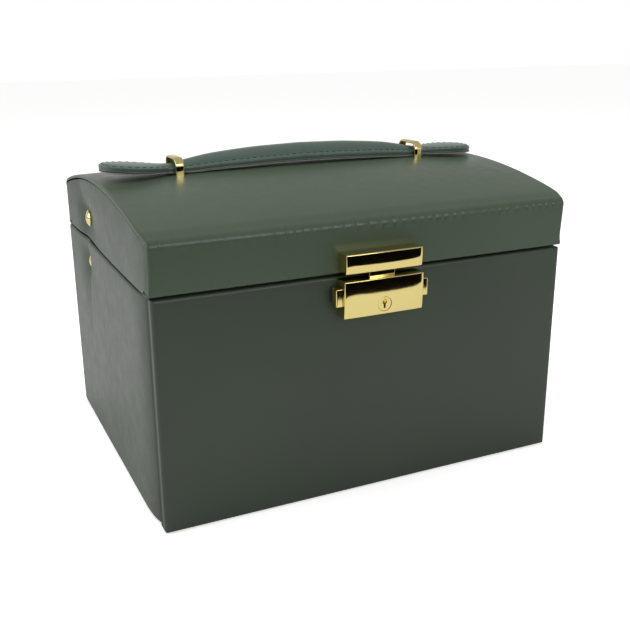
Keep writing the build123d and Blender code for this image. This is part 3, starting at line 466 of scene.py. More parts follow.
# %% Covered panels
def covered_panel(name, columns, rows_at, height, place, back, edges, materials, out, corner=0.0):
    """A closed, covered panel.

    columns are places along the panel and rows_at gives the places across at one of them. height is how far the
    skin stands out there, back is the plane that the panel ends at, and place turns all three into a point.
    edges are the roundings at the first and last column and the first and last row. out is the way it faces. A
    second material, if there is one, goes on the back.
    """
    p_ends = (columns[0], columns[-1])
    grid = []
    for p in columns:
        rows = rows_at(p)
        q_ends = (rows[0], rows[-1])
        line = []
        for q in rows:
            distances = (p - p_ends[0], p_ends[1] - p, q - q_ends[0], q_ends[1] - q)
            drop = max(fall(distance, edge) for distance, edge in zip(distances, edges))
            x, y = round_corner(p, q, p_ends, q_ends, corner)
            line.append((x, y, height(x, y) - drop))
        grid.append(line)
    wide, high = len(grid), len(grid[0])
    points = [place(*point) for line in grid for point in line]
    faces = grid_faces(wide, high)
    border = (
        [(i, 0) for i in range(wide)] + [(wide - 1, j) for j in range(1, high)]
        + [(i, high - 1) for i in range(wide - 2, -1, -1)] + [(0, j) for j in range(high - 2, 0, -1)]
    )
    last = [i * high + j for i, j in border]
    count = len(border)
    for share in (0.1, 1.0):
        ring = list(range(len(points), len(points) + count))
        for i, j in border:
            p, q, h = grid[i][j]
            points.append(place(p, q, h + (back - h) * share))
        faces += [(last[k], ring[k], ring[(k + 1) % count], last[(k + 1) % count]) for k in range(count)]
        last = ring
    faces.append(tuple(last))
    piece = add_piece(name, points, faces, *materials)
    middle = piece.data.polygons[(wide // 2) * (high - 1) + high // 2]
    if middle.normal.dot(Vector(out)) < 0:
        piece.data.flip_normals()
    piece.data.polygons[-1].use_smooth = False
    if len(materials) > 1:
        piece.data.polygons[-1].material_index = 1
    return piece


# %% [markdown]
# Board, card and castings keep the frame's own shape, but no real edge is a knife. So each is copied, cleaned of
# needless edges and bevelled, and its flat faces keep flat shading by weighted normals.

# %% Softened copies
weld = 0.002 * mm
flat_angle = math.radians(1)
bevel_angle = math.radians(40)


def softened(node, width, material, lined=None, segments=3):
    """A copy of a node of the frame with its edges rounded, for board, card and castings alike.

    lined is a way to face and a second material, for the faces that look that way.
    """
    piece = bpy.data.objects.new(f"{node}_dressed", frame["nodes"][node].data.copy())
    bpy.context.scene.collection.objects.link(piece)
    piece.data.materials.clear()
    piece.data.materials.append(material)
    if lined:
        piece.data.materials.append(lined[1])
    mesh = bmesh.new()
    mesh.from_mesh(piece.data)
    bmesh.ops.remove_doubles(mesh, verts=mesh.verts, dist=weld)
    bmesh.ops.dissolve_limit(
        mesh, angle_limit=flat_angle, verts=mesh.verts, edges=mesh.edges, use_dissolve_boundaries=False
    )
    for face in mesh.faces:
        face.smooth = True
        face.material_index = 1 if lined and face.normal.dot(Vector(lined[0])) > 0.9 else 0
    mesh.to_mesh(piece.data)
    mesh.free()
    bevel = piece.modifiers.new("rounded_edges", "BEVEL")
    bevel.width = width
    bevel.segments = segments
    bevel.angle_limit = bevel_angle
    piece.modifiers.new("flat_faces", "WEIGHTED_NORMAL")
    apply_modifiers(piece)
    return dress(piece, node)


# %% [markdown]
# The sizes of the leather work come from the frame, so that each skin lies on the board that carries it. The
# padded sides swell out from the front edge in a soft curve: flat board, foam, then leather pulled tight.

# %% Sizes read from the frame
panel_low, panel_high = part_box("front_cover")
lid_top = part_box("lid_cover")[1].z
rail_low, rail_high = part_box("lid_front")
pad_low, pad_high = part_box("side_cover_right")
lid_pad_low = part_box("lid_side_right")[0]
back_low, back_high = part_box("back_cover")
gap_fill = 0.5 * mm
bow_half = pad_high.x
front_y, back_y = panel_low.y, pad_high.y
lid_bottom = rail_low.z - gap_fill
case_top = panel_high.z + gap_fill
front_half = panel_high.x + 1.5 * mm
lid_front_half = panel_high.x + 1.9 * mm
swell_run = 24 * mm
swell_run_back = 4 * mm
back_drop = 0.5 * mm
knee_share = 0.25
dome_rise = 12.9 * mm
dome_crown = 3.5 * mm
ridge_z = lid_top - dome_rise - dome_crown
arch_radius = (back_y**2 + dome_rise**2) / (2 * dome_rise)
arch_centre = ridge_z + dome_rise - arch_radius


def middle_of(node, axis):
    """Middle of a node's box along an axis: 0 is X, 1 is Y, 2 is Z."""
    low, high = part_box(node)
    return (low[axis] + high[axis]) / 2


rivet_y = middle_of("lever_rivets", 1)
case_rivet_z = middle_of("lever_rivets", 2)
lid_rivet_z = middle_of("link_rivets", 2)
print("ridge at", round(ridge_z / mm, 1), "mm, rivets", round(rivet_y / mm, 1), "mm behind the middle")


# %% Swell of the padded sides and arch of the dome
def bend(t, start, knee, end):
    """A point on a quadratic curve."""
    return (1 - t) ** 2 * start + 2 * t * (1 - t) * knee + t * t * end


def bend_share(y, start, knee, end):
    """The share along a quadratic curve at which it reaches y."""
    a, b, c = start - 2 * knee + end, 2 * (knee - start), start - y
    return (-b + math.sqrt(max(0.0, b * b - 4 * a * c))) / (2 * a)


def swell(y, edge_x, low_y):
    """How far a padded side stands out at a place along its depth: tight at both ends, full between."""
    if y < low_y + swell_run:
        t = bend_share(max(y, low_y), low_y, low_y + swell_run * knee_share, low_y + swell_run)
        return bend(t, edge_x, bow_half, bow_half)
    if y > back_y - swell_run_back:
        turn = back_y - swell_run_back
        t = bend_share(min(y, back_y), turn, back_y - swell_run_back * knee_share, back_y)
        return bend(t, bow_half, bow_half, bow_half - back_drop)
    return bow_half


def arch(y):
    """Height of the dome's outer skin at the lid's sides."""
    return arch_centre + math.sqrt(arch_radius**2 - y * y)


# %% [markdown]
# The case's sides. Each rivet pulls the foam in round itself, like a button in upholstery: steep at its rim, slack
# further out. Below the case's rivet the leather folds into one upright crease, crisp on its front side and slack
# behind, as pinched leather is.

# %% Pull of a rivet and fold of the leather
edge_turn = 1.5 * mm
back_turn = 0.8 * mm
crease_depth = 1.6 * mm
crease_lead = 1.1 * mm
crease_slack = 12 * mm
crease_foot = 58 * mm
crease_lip = 3.4 * mm
wide_pull = 1.5 * mm
joint_gap = 0.7 * mm
pull_depth = bow_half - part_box("lever_rivets")[1].x + 1.95 * mm
pull_rim = 5.2 * mm
pull_reach = 9 * mm


def rivet_pull(y, z, rivet_z, depth, lead=1.0):
    """Hollow that a rivet draws into the padding, longer in front of it by the given lead."""
    along = y - rivet_y
    away = max(0.0, math.hypot(along / (lead if along < 0 else 1.0), z - rivet_z) - pull_rim)
    return depth * math.exp(-((away / pull_reach) ** 1.3))


def fold(across, lead, slack):
    """Section of a fold in padded leather, 1 at its bottom: crisp to one side and slack to the other."""
    return math.exp(-((across / (lead if across < 0 else slack)) ** 2))


# %% Padded sides of the case
def case_side_height(y, z):
    """How far the case's side stands out at a place."""
    full = swell(y, panel_high.x, pad_low.y)
    length = smooth((z - crease_foot) / (40 * mm))
    behind_lip = y - rivet_y + crease_lip + 0.3 * mm * math.sin((z - case_rivet_z) / (16 * mm))
    folded = length * crease_depth * fold(behind_lip, crease_lead, crease_slack)
    pulled = rivet_pull(y, z, case_rivet_z, pull_depth - wide_pull) * smooth(behind_lip / (1.5 * mm) + 1)
    pulled += rivet_pull(y, z, case_rivet_z, wide_pull, lead=3.0)
    slack = noise.noise(Vector((y / (60 * mm), z / (80 * mm), 3.0)))
    return full - max(pulled, 0.6 * pulled + folded * 0.8) + 0.15 * mm * slack - 0.1 * mm


for label, side in sides.items():
    pad = covered_panel(
        f"case_side_leather_{label}",
        spread(pad_low.y + joint_gap, back_y, edge_turn, 130),
        lambda p: spread(pad_low.z, case_top, edge_turn, 90),
        case_side_height,
        lambda p, q, h, s=side: (s * h, p, q),
        pad_low.x, [edge_turn, back_turn, edge_turn, edge_turn], [case_leather], (side, 0, 0),
    )
    dress(pad, f"side_cover_{label}", fill=0.7)

# %% [markdown]
# The front is one panel, as tall as the case. Leather goes round its edges to the back, so its upright edges and
# corners are rounded, and the joint to the padded sides shows as one black line.

# %% Front and back leather
front_edge = min(2.2 * mm, panel_high.y - panel_low.y - 0.3 * mm)
top_edge = 1.6 * mm
foot_edge = 0.7 * mm
front_corner = 0.9 * mm
back_edge = 0.6 * mm


def front_height(x, z):
    """The front is almost flat: a tight skin with the faintest waves."""
    return 0.12 * mm * noise.noise(Vector((x / (70 * mm), z / (50 * mm), 9.0)))


front_leather = covered_panel(
    "front_leather",
    spread(-front_half, front_half, front_edge, 90),
    lambda p: spread(panel_low.z, case_top, top_edge, 50),
    front_height,
    lambda p, q, h: (p, front_y - h, q),
    front_y - panel_high.y, [front_edge, front_edge, foot_edge, top_edge], [case_leather, velvet], (0, -1, 0),
    corner=front_corner,
)
dress(front_leather, "front_cover")

back_leather = covered_panel(
    "back_leather",
    spread(back_low.x, back_high.x, back_edge, 60),
    lambda p: spread(back_low.z, back_high.z, back_edge, 40),
    front_height,
    lambda p, q, h: (p, back_y + h, q),
    back_low.y - back_y, [back_edge] * 4, [case_leather], (0, 1, 0),
)
dress(back_leather, "back_cover")

# %% [markdown]
# One sheet of leatherette covers the lid's front, dome and back. It is drawn here as a path in side view, swept
# from side to side. At the front ridge the sheet bends over a soft edge, and there it is gathered: round puffs
# with narrow folds between them, about 6 mm apart and never two alike, because noise shifts each fold a little.

# %% The path of the lid's leather
ridge_round = 4.5 * mm
hem_round = 1.0 * mm
hem_up = 2.0 * mm
hem_back = 0.5 * mm
ridge_out = 1.2 * mm
rail_depth = rail_high.y - rail_low.y
sheet_thickness = 0.8 * mm


def arc_points(centre, radius, start, end, steps):
    """Points on a round arc in side view, angles in degrees from +Y towards +Z."""
    return [
        (centre[0] + radius * math.cos(math.radians(a)), centre[1] + radius * math.sin(math.radians(a)))
        for a in np.linspace(start, end, steps)
    ]


def leaned(y, z):
    """The front leans out a little: its hem lies back, and the foam pushes its ridge forward."""
    up = min(1.0, max(0.0, (z - lid_bottom) / (ridge_z - lid_bottom)))
    return y + smooth((-60 * mm - y) / (37 * mm)) * (hem_back - (hem_back + ridge_out) * up), z


def lid_path():
    """The lid's leather in side view, from inside the front rail, over the dome, to inside the back rail."""
    inside_y = front_y + rail_depth
    lean = math.degrees(math.asin((-front_y - ridge_round) / (arch_radius - ridge_round)))
    ridge_y = front_y + ridge_round
    ridge_height = arch_centre + math.sqrt((arch_radius - ridge_round) ** 2 - ridge_y**2)
    path = [(inside_y, lid_bottom + hem_up), (inside_y, lid_bottom + 1.4 * hem_round)]
    path += arc_points((inside_y - hem_round, lid_bottom + hem_round), hem_round, 0, -90, 5)
    path += arc_points((front_y + hem_round, lid_bottom + hem_round), hem_round, -90, -180, 5)
    path += [(front_y, z) for z in np.linspace(lid_bottom + 1.4 * hem_round, ridge_height - ridge_round, 9)]
    path += [(front_y, z) for z in np.linspace(ridge_height - ridge_round, ridge_height, 8)[1:-1]]
    path += arc_points((ridge_y, ridge_height), ridge_round, 180, 90 + lean, 18)
    path += arc_points((0, arch_centre), arch_radius, 90 + lean, 90 + lean * 0.86, 12)[1:]
    path += arc_points((0, arch_centre), arch_radius, 90 + lean * 0.86, 90, 30)[1:]
    return [leaned(y, z) for y, z in path] + [(-y, z) for y, z in reversed(path[:-1])]


path = lid_path()
tangents = np.gradient(np.array(path), axis=0)
tangents /= np.linalg.norm(tangents, axis=1)[:, None]
print("path of the lid's leather:", len(path), "points")

# %% Gathers along the ridge
pucker_pitch = 5.7 * mm
pucker_height = 0.75 * mm


def pucker(x):
    """Height of the gathers at a place along the ridge: round puffs with narrow folds between them."""
    place = x / pucker_pitch + 0.9 * noise.noise(Vector((x / (21 * mm), 6.3, 0.0)))
    patch = 0.7 + 0.9 * noise.noise(Vector((x / (26 * mm), 1.7, 0.0)))
    return (abs(math.sin(math.pi * place)) ** 0.6 - 0.7) * max(0.15, patch)


# %% [markdown]
# At its sides the sheet ends in two ways. Along the dome it is turned over the padding's edge and stops at a
# narrow seam. On the front it goes round the upright corner and lies on the side's leather, so no gap shows there.

# %% The sheet's side edges
corner_turn = 1.8 * mm
hem_turn = 0.25 * mm
seam_turn = 1.2 * mm
edge_rise = 0.8 * mm
front_wrap = 1.6 * mm
seam_tuck = 0.5 * mm


def dome_share(y, z):
    """0 on the lid's front and back, 1 on the dome, and a soft change between."""
    if z < ridge_z - ridge_round:
        return 0.0
    return smooth((y - front_y - 1 * mm) / (8 * mm)) * smooth((back_y - 1 * mm - y) / (8 * mm))


def side_reach(y, z):
    """How far the sheet runs on past its side edge: round the corner on the front, barely on the dome."""
    if y > front_y + ridge_round or z < lid_bottom + hem_round:
        return seam_tuck
    up = smooth((z - lid_bottom - hem_round) / (3 * mm))
    return seam_tuck + (front_wrap - seam_tuck) * up * (1 - smooth((y - front_y) / ridge_round))


# %% The lid's leather
lid_columns = spread(-1.0, 1.0, 0.012, 430)
sheet_points = []
for (y, z), (run_y, run_z) in zip(path, tangents):
    out_y, out_z = -run_z, run_y
    edge_x = swell(max(y, front_y), lid_front_half, front_y)
    dome = dome_share(y, z)
    turn = hem_turn + (corner_turn - hem_turn) * smooth((z - lid_bottom - hem_round) / (4 * mm))
    turn += (seam_turn - corner_turn) * dome
    crown = (dome_crown - edge_rise) * (1 - (y / back_y) ** 2) if z > ridge_z - ridge_round else 0.0
    from_ridge = math.hypot((y - front_y - 0.2 * mm) / (2.4 * mm), (z - ridge_z + 2.4 * mm) / (2.1 * mm))
    gathered = pucker_height * math.exp(-(from_ridge**2))
    line = []
    for share in lid_columns:
        x = share * edge_x
        to_side = edge_x - abs(x)
        lift = gathered * pucker(x) * smooth(to_side / (6 * mm)) + edge_rise * dome - fall(to_side, turn)
        line.append((x, y + out_y * lift, z + out_z * lift + crown * (1 - share**2)))
    reach = side_reach(y, z)
    wrapped = (reach - seam_tuck) / (front_wrap - seam_tuck)
    ends = []
    for x, end_y, end_z in (line[0], line[-1]):
        end_y, end_z = end_y - out_y * reach, end_z - out_z * reach
        proud = wrapped * (swell(max(end_y, front_y), lid_front_half, front_y) + 0.12 * mm - edge_x)
        ends.append((x + math.copysign(proud, x), end_y, end_z))
    sheet_points += [ends[0], *line, ends[1]]
sheet_faces = [(a, b, c, d) for a, d, c, b in grid_faces(len(path), len(lid_columns) + 2)]
lid_leather = add_piece("lid_leather", sheet_points, sheet_faces, lid_sheet_leather)
top_face = max(lid_leather.data.polygons, key=lambda f: f.center.z)
if top_face.normal.z < 0:
    lid_leather.data.flip_normals()
shell = lid_leather.modifiers.new("sheet", "SOLIDIFY")
shell.thickness = sheet_thickness
shell.offset = -1
apply_modifiers(lid_leather)
dress(lid_leather, "lid_cover", "lid_front", "lid_back", fill=0.5)

# %% [markdown]
# The lid's sides are padded like the case's. Along the dome they meet the top sheet in a narrow dark seam, and at
# the front their leather runs under the turned edge of the front. Behind its rivet the padding is drawn in wide.

# %% Padded sides of the lid
seam_drop = 1.6 * mm
side_under = 0.35 * mm
side_start = 1.6 * mm
side_stop = 0.4 * mm
drawn_in = 0.9 * mm


def lid_side_height(y, z):
    """How far the lid's side stands out at a place."""
    full = swell(y, lid_front_half, front_y)
    above = smooth((z - lid_rivet_z) / (8 * mm))
    drawn = drawn_in * above * fold(y - rivet_y - 0.4 * (z - lid_rivet_z), 4 * mm, 16 * mm)
    slack = noise.noise(Vector((y / (50 * mm), z / (40 * mm), 5.0)))
    return full - rivet_pull(y, z, lid_rivet_z, pull_depth, lead=2.4) - drawn + 0.15 * mm * slack - side_under


for label, side in sides.items():
    pad = covered_panel(
        f"lid_side_leather_{label}",
        spread(front_y + side_start, back_y - side_stop, edge_turn, 130),
        lambda p: spread(lid_bottom, arch(p) - seam_drop, edge_turn, 60),
        lid_side_height,
        lambda p, q, h, s=side: (s * h, p, q),
        lid_pad_low.x, [0.3 * mm, back_turn, back_turn, 0.7 * mm], [case_leather, velvet], (side, 0, 0),
    )
    dress(pad, f"lid_side_{label}", fill=0.7)

# %% [markdown]
# The inner faces of the lid's rails are lined with the same velvet as the trays: a thin card, wrapped in cloth
# and glued in place, which also hides where the leather's hem ends.

# %% Velvet inside the lid's rails
lining_edge = 0.4 * mm
rail_linings = {"front": (front_y + rail_depth, 1), "back": (back_y - rail_depth, -1)}
for label, (face, way) in rail_linings.items():
    lining = covered_panel(
        f"lid_rail_lining_{label}",
        spread(-lid_pad_low.x, lid_pad_low.x, lining_edge, 8),
        lambda p: spread(lid_bottom + hem_up - 0.8 * mm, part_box("mirror_board")[0].z, lining_edge, 4),
        lambda x, z: 0.0,
        lambda p, q, h, w=way, f=face: (p, f + w * (h + 0.3 * mm), q),
        -0.5 * mm, [lining_edge] * 4, [velvet], (0, way, 0),
    )
    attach(lining, "lid")
    print(lining.name, "has", len(lining.data.polygons), "faces")

# %% [markdown]
# The strap handle. A flat split strap runs through both loops and widens to a leaf at each end. On top of it a
# second skin is drawn over padding: thin on the leaves, thick in the grip. Seen in section it rises from a
# vertical edge over a slant, where the stitches sit, to a rounded crown. Every point's height follows from how far
# it lies from the outline, so the leaf's tip closes by itself.

# %% Sizes of the strap
loop_x = middle_of("loop_right", 0)
leaf_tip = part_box("strap_end_right")[1].x
neck_half = 7.2 * mm
leaf_half = 13.0 * mm
leaf_wide = leaf_tip - 17.5 * mm
neck_end = loop_x + 6 * mm
grip_half_width = 9.5 * mm
grip_start = 60 * mm


def between(x, table):
    """A smooth value from (place, value) pairs: straight runs, with their corners averaged away."""
    places, values = zip(*table)
    return float(np.mean([np.interp(x + shift, places, values) for shift in (-3 * mm, 0, 3 * mm)]))


print("strap:", round(2 * leaf_tip / mm, 1), "mm from tip to tip, leaves", round(2 * leaf_half / mm, 1), "mm wide")

# %% Heights along the strap
tip_lift = {-1: 2.6 * mm, 1: -0.6 * mm}
strap_under = [
    (0, lid_top + 1.6 * mm), (25 * mm, lid_top + 1.3 * mm), (50 * mm, lid_top + 0.5 * mm),
    (66 * mm, lid_top - 0.35 * mm), (loop_x, lid_top - 0.45 * mm), (neck_end + 3 * mm, lid_top + 0.2 * mm),
]
edge_height = [(0, 3.2 * mm), (grip_start, 3.0 * mm), (loop_x, 2.7 * mm), (leaf_wide, 3.4 * mm)]
slant_height = [(0, 1.7 * mm), (grip_start, 1.6 * mm), (loop_x, 0.6 * mm), (leaf_wide, 0.7 * mm)]
crown_height = [
    (0, 5.1 * mm), (30 * mm, 4.9 * mm), (45 * mm, 4.4 * mm), (58 * mm, 3.8 * mm), (66 * mm, 3.3 * mm),
    (70 * mm, 3.0 * mm), (loop_x - 3 * mm, 2.5 * mm), (loop_x + 2 * mm, 1.6 * mm), (loop_x + 8 * mm, 0.75 * mm),
    (leaf_wide, 0.75 * mm),
]
slant = 1.6 * mm
groove_half = 0.45 * mm
groove_depth = 0.22 * mm


# %% Outline and section of the strap
def half_width(x):
    """Half the strap's width at a place along it."""
    if x > leaf_wide:
        u = min(1.0, (x - leaf_wide) / (leaf_tip - leaf_wide))
        return leaf_half * (1 - u**2.3) ** (1 / 2.3)
    if x > neck_end:
        return neck_half + (leaf_half - neck_half) * math.sin(math.pi / 2 * (x - neck_end) / (leaf_wide - neck_end))
    return between(x, [(0, grip_half_width), (40 * mm, grip_half_width), (loop_x - 3 * mm, neck_half)])


def underside(side, x):
    """Height of the strap's underside at a place along it. Wear has curled the left leaf up, and the right down."""
    curl = tip_lift[side] * max(0.0, (x - neck_end) / (leaf_tip - neck_end)) ** 1.3
    return between(x, strap_under) + curl


tip_turns = np.linspace(0, math.pi / 2, 26)[1:-1]
stations = list(np.linspace(0, leaf_wide, 118))
stations += [leaf_wide + (leaf_tip - leaf_wide) * math.sin(a) for a in tip_turns]
outline = np.array([(x, half_width(x)) for x in stations] + [(leaf_tip, 0.0)])


def edge_distance(x, y):
    """Distance from a point inside the strap to its outline."""
    start, end = outline[:-1], outline[1:]
    run = end - start
    point = np.array((x, abs(y)))
    share = np.clip(((point - start) * run).sum(1) / (run * run).sum(1), 0, 1)
    return float(np.sqrt((((start + run * share[:, None]) - point) ** 2).sum(1)).min())


def strap_top(x, y):
    """Height of the strap's top skin above its underside."""
    distance = edge_distance(x, y)
    width = half_width(x)
    height = between(x, edge_height)
    height += between(x, slant_height) * min(1.0, distance / slant) ** 0.8
    inner = max(0.6 * mm, width - slant)
    u = min(1.0, max(0.0, distance - slant) / inner)
    height += between(x, crown_height) * (1 - (1 - u) ** 2.6)
    return height - groove_depth * math.exp(-(((distance - slant) / groove_half) ** 2))


# %% [markdown]
# The strap is made in two halves that meet in the middle. Each is one closed mesh: a grid of points carries the
# top skin, and rings of points step down the vertical edge, in and out, where its layers of leather meet.

# %% The strap's leather
across_shares = [math.sin(a) for a in np.linspace(-math.pi / 2, math.pi / 2, 41)]


def strap_point(side, x, y, h):
    """A point of the strap from its place along, across and above the underside."""
    return (side * x, y, underside(side, x) + h)


def strap_half(side):
    """Points and faces of one half of the strap, from the middle of the grip to the leaf's tip."""
    rows = [[(x, share * half_width(x)) for share in across_shares] for x in stations]
    high = len(across_shares)
    points = [strap_point(side, x, y, strap_top(x, y)) for row in rows for x, y in row]
    faces = grid_faces(len(rows), high)
    rim = (
        [i * high for i in range(len(rows))] + [(len(rows) - 1) * high + j for j in range(1, high)]
        + [i * high + high - 1 for i in range(len(rows) - 2, -1, -1)]
    )
    plan = [rows[k // high][k % high] for k in rim]
    steps = [(0.0, -0.35), (0.10, -0.75), (0.0, -1.5), (0.35, -1.75), (0.0, -2.0), (0.08, -2.45)]
    last = rim
    for inset, level in steps:
        ring = list(range(len(points), len(points) + len(rim)))
        for x, y in plan:
            drawn = 1 - inset * mm / max(half_width(x), 1.5 * mm)
            points.append(strap_point(side, x, y * drawn, between(x, edge_height) + level * mm))
        faces += [(last[k], last[k + 1], ring[k + 1], ring[k]) for k in range(len(rim) - 1)]
        last = ring
    faces.append(tuple(last))
    end_ring = list(range(high)) + [high * len(rows) + len(rim) * (n + 1) - 1 for n in range(len(steps))]
    end_ring += [high * len(rows) + len(rim) * n for n in range(len(steps) - 1, -1, -1)]
    faces.append(tuple(end_ring))
    return points, faces


# %% [markdown]
# The stitches are short capsules that lie in the groove, one every 4 mm. A capsule is thinnest at both ends, where
# the thread dives into its hole, and a little flat, because it is pulled tight.

# %% Stitches
stitch_length = 2.9 * mm
stitch_pitch = 4.1 * mm
stitch_radius = 0.42 * mm
stitch_sides = 8


def capsule(points, faces, start, end, normal, radius):
    """Add a round-ended stitch from start to end, a little flattened along its normal."""
    across = (end - start).normalized().cross(normal).normalized()
    base = len(points)
    rings = [(0.0, 0.0), (0.08, 0.62), (0.22, 0.92), (0.5, 1.05), (0.78, 0.92), (0.92, 0.62), (1.0, 0.0)]
    for share, size in rings:
        centre = start.lerp(end, share) - normal * (1 - size) * radius * 0.9
        grow = max(size, 0.02) * radius
        for k in range(stitch_sides):
            a = 2 * math.pi * k / stitch_sides
            points.append(centre + across * math.cos(a) * grow + normal * math.sin(a) * grow * 0.85)
    faces += tube_faces(len(rings), stitch_sides, base)


def seam_line(inset):
    """Points of a line that follows the strap's outline from one side of the grip round the leaf to the other."""
    places = list(np.linspace(0.5 * mm, leaf_wide, 300))
    places += [leaf_wide + (leaf_tip - leaf_wide) * math.sin(a) for a in np.linspace(0, math.pi / 2, 80)[1:]]
    near = [(x, half_width(x)) for x in places]
    line = []
    for i, (x, w) in enumerate(near):
        x0, w0 = near[max(0, i - 1)]
        x1, w1 = near[min(len(near) - 1, i + 1)]
        run = Vector((x1 - x0, w1 - w0)).normalized()
        line.append(Vector((x + run.y * inset, w - run.x * inset)))
    line = [p for p in line if p.y > 0]
    return line + [Vector((p.x, -p.y)) for p in reversed(line)]


def stitch_row(side):
    """Every stitch of one half of the strap."""
    line = seam_line(slant + 0.05 * mm)
    places = [0.0]
    for a, b in zip(line, line[1:]):
        places.append(places[-1] + (b - a).length)
    count = int(places[-1] / stitch_pitch)
    points, faces = [], []

    def at(distance):
        """The point on the seam at a distance along it."""
        i = min(len(line) - 2, max(0, int(np.searchsorted(places, distance)) - 1))
        spot = line[i].lerp(line[i + 1], (distance - places[i]) / max(1e-9, places[i + 1] - places[i]))
        return Vector(strap_point(side, spot.x, spot.y, strap_top(spot.x, spot.y) + 0.12 * mm))

    for k in range(count):
        begin = (k + 0.5) * places[-1] / count - stitch_length / 2
        capsule(points, faces, at(begin), at(begin + stitch_length), Vector((0, 0, 1)), stitch_radius)
    return points, faces


# %% [markdown]
# Below the strap, the cut edge of its lower layer looks out a little, ragged and undyed. A thin closed sheet with
# the strap's outline, pushed in and out by noise, copies it.

# %% Raw edge
raw_height = 0.5 * mm


def raw_edge(side):
    """The lower layer's ragged rim and flat underside, as one thin closed sheet."""
    points = []
    ring = [(x, half_width(x)) for x in stations] + [(leaf_tip, 0.0)]
    ring += [(x, -w) for x, w in reversed(ring[:-1])]
    for level in (0.0, raw_height):
        for x, y in ring:
            ragged = 0.1 * mm + 0.3 * mm * noise.noise(Vector((x / (2.2 * mm), y / (2.2 * mm), 4.0)))
            if level:
                ragged -= 0.15 * mm
            width = max(half_width(x), 1.5 * mm)
            end = ragged * smooth((x - leaf_wide) / (leaf_tip - leaf_wide))
            points.append(strap_point(side, x + end, y * (1 + ragged / width), level))
    return points, tube_faces(2, len(ring))


# %% [markdown]
# Each half is made as three closed meshes, skin, stitches and raw edge, which take the place of the frame's grip
# and that side's strap end.

for label, side in sides.items():
    made = {
        f"strap_leather_{label}": (strap_half(side), handle_leather),
        f"strap_stitches_{label}": (stitch_row(side), thread),
        f"strap_raw_edge_{label}": (raw_edge(side), suede),
    }
    for name, ((points, faces), material) in made.items():
        piece = outward(add_piece(name, points, faces, material))
        for face in piece.data.polygons:
            if len(face.vertices) > 8:
                face.use_smooth = False
        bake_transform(piece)
        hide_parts("handle_grip", f"strap_end_{label}")
        print(piece.name, "has", len(faces), "faces")

# %% [markdown]
# The loops are bent from flat gilt strip: bar on top, round shoulders, and two legs that go through the lid. A
# rounded rectangle, slightly crowned on its broad faces, is carried along that bent line. The crown matters: on
# polished metal a perfectly flat face mirrors one spot only, and looks dead.

# %% Handle loops
loop_low, loop_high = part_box("loop_right")
strip_thickness = 1.7 * mm
strip_half = (loop_high.x - loop_low.x) / 2
shoulder = 4.0 * mm


def strip_section():
    """Half width and half thickness pairs round the strip's section."""
    edge, crown = 0.5 * mm, 0.16 * mm
    flat = strip_half - edge
    half = strip_thickness / 2 - crown
    section = []
    for way in (1, -1):
        section += [(way * flat * t, way * (half + crown * (1 - t * t))) for t in np.linspace(-1, 1, 9)]
        for a, up in ((30, way), (60, way), (60, -way), (30, -way)):
            x, z = math.sin(math.radians(a)), math.cos(math.radians(a))
            section.append((way * (flat + edge * x), up * (half - edge + edge * z)))
    return section


def loop_line():
    """The strip's middle line in end view, with its outward normal."""
    outer = loop_high.y - strip_thickness / 2
    top = loop_high.z - strip_thickness / 2
    line = [((-outer, z), (-1, 0)) for z in np.linspace(loop_low.z, top - shoulder, 6)[:-1]]
    for a in np.linspace(180, 90, 10):
        n = (math.cos(math.radians(a)), math.sin(math.radians(a)))
        line.append(((-outer + shoulder + shoulder * n[0], top - shoulder + shoulder * n[1]), n))
    return line + [((-y, z), (-n, m)) for (y, z), (n, m) in reversed(line)]


section, line = strip_section(), loop_line()
for label, side in sides.items():
    points = [
        (side * loop_x + a, y + normal_y * b, z + normal_z * b)
        for (y, z), (normal_y, normal_z) in line for a, b in section
    ]
    loop = outward(add_piece(f"handle_loop_{label}", points, tube_faces(len(line), len(section)), gold))
    for face in loop.data.polygons[-2:]:
        face.use_smooth = False
    dress(loop, f"loop_{label}")

# %% [markdown]
# The lock is die cast, ground, polished and plated. Its two blocks have faces that bulge by about half a millimetre,
# with their crest above the middle, and crisp but rounded edges. So each face mirrors the black card in its upper
# part and the pale table in its lower part, with a curved line between: that makes it read as polished gold.

# %% Lock blocks
sharp_angle = math.radians(32)
lock_edge = 0.6 * mm
swelling = 0.3 * mm
crest_dip = 0.14
end_turn = 0.3 * mm
sunk = 0.8 * mm


def lock_block(node, piece_name, crest):
    """A crowned block of the lock. Its face swells most at its crest, a share of the way from middle to top."""
    low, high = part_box(node)
    middle, half = (low.z + high.z) / 2, (high.z - low.z) / 2

    def bulge(x, z):
        """How far the face stands out. The crest dips in the middle, and the ends turn back a little."""
        across = min(1.0, abs(x) / high.x)
        up = (z - middle) / half - crest + crest_dip * (1 - across**2)
        return -swelling * up**2 - end_turn * across**9

    return covered_panel(
        piece_name,
        spread(low.x, high.x, lock_edge, 60),
        lambda p: spread(low.z, high.z, lock_edge, 28),
        bulge,
        lambda p, q, h, front=low.y: (p, front - h, q),
        low.y - front_y - sunk, [lock_edge] * 4, [gold], (0, -1, 0), corner=0.5 * mm,
    )


strike = lock_block("lock_upper_block", "lock_strike_casting", crest=0.36)
strike.data.set_sharp_from_angle(angle=sharp_angle)
dress(strike, "lock_upper_block")

# %% [markdown]
# The housing is cast with openings for the tabs, the tongue and the key plug, each with a little room for the part
# to move in. Here they are cut out of a solid block, as a mill would, and the cut edges stay sharp.


# %% Cutters
def cut_box(low, high):
    """A plain box, used as a cutter."""
    points = [(x, y, z) for x in (low[0], high[0]) for y in (low[1], high[1]) for z in (low[2], high[2])]
    faces = [(0, 1, 3, 2), (4, 6, 7, 5), (0, 4, 5, 1), (2, 3, 7, 6), (0, 2, 6, 4), (1, 5, 7, 3)]
    return outward(add_piece("cutter", points, faces))


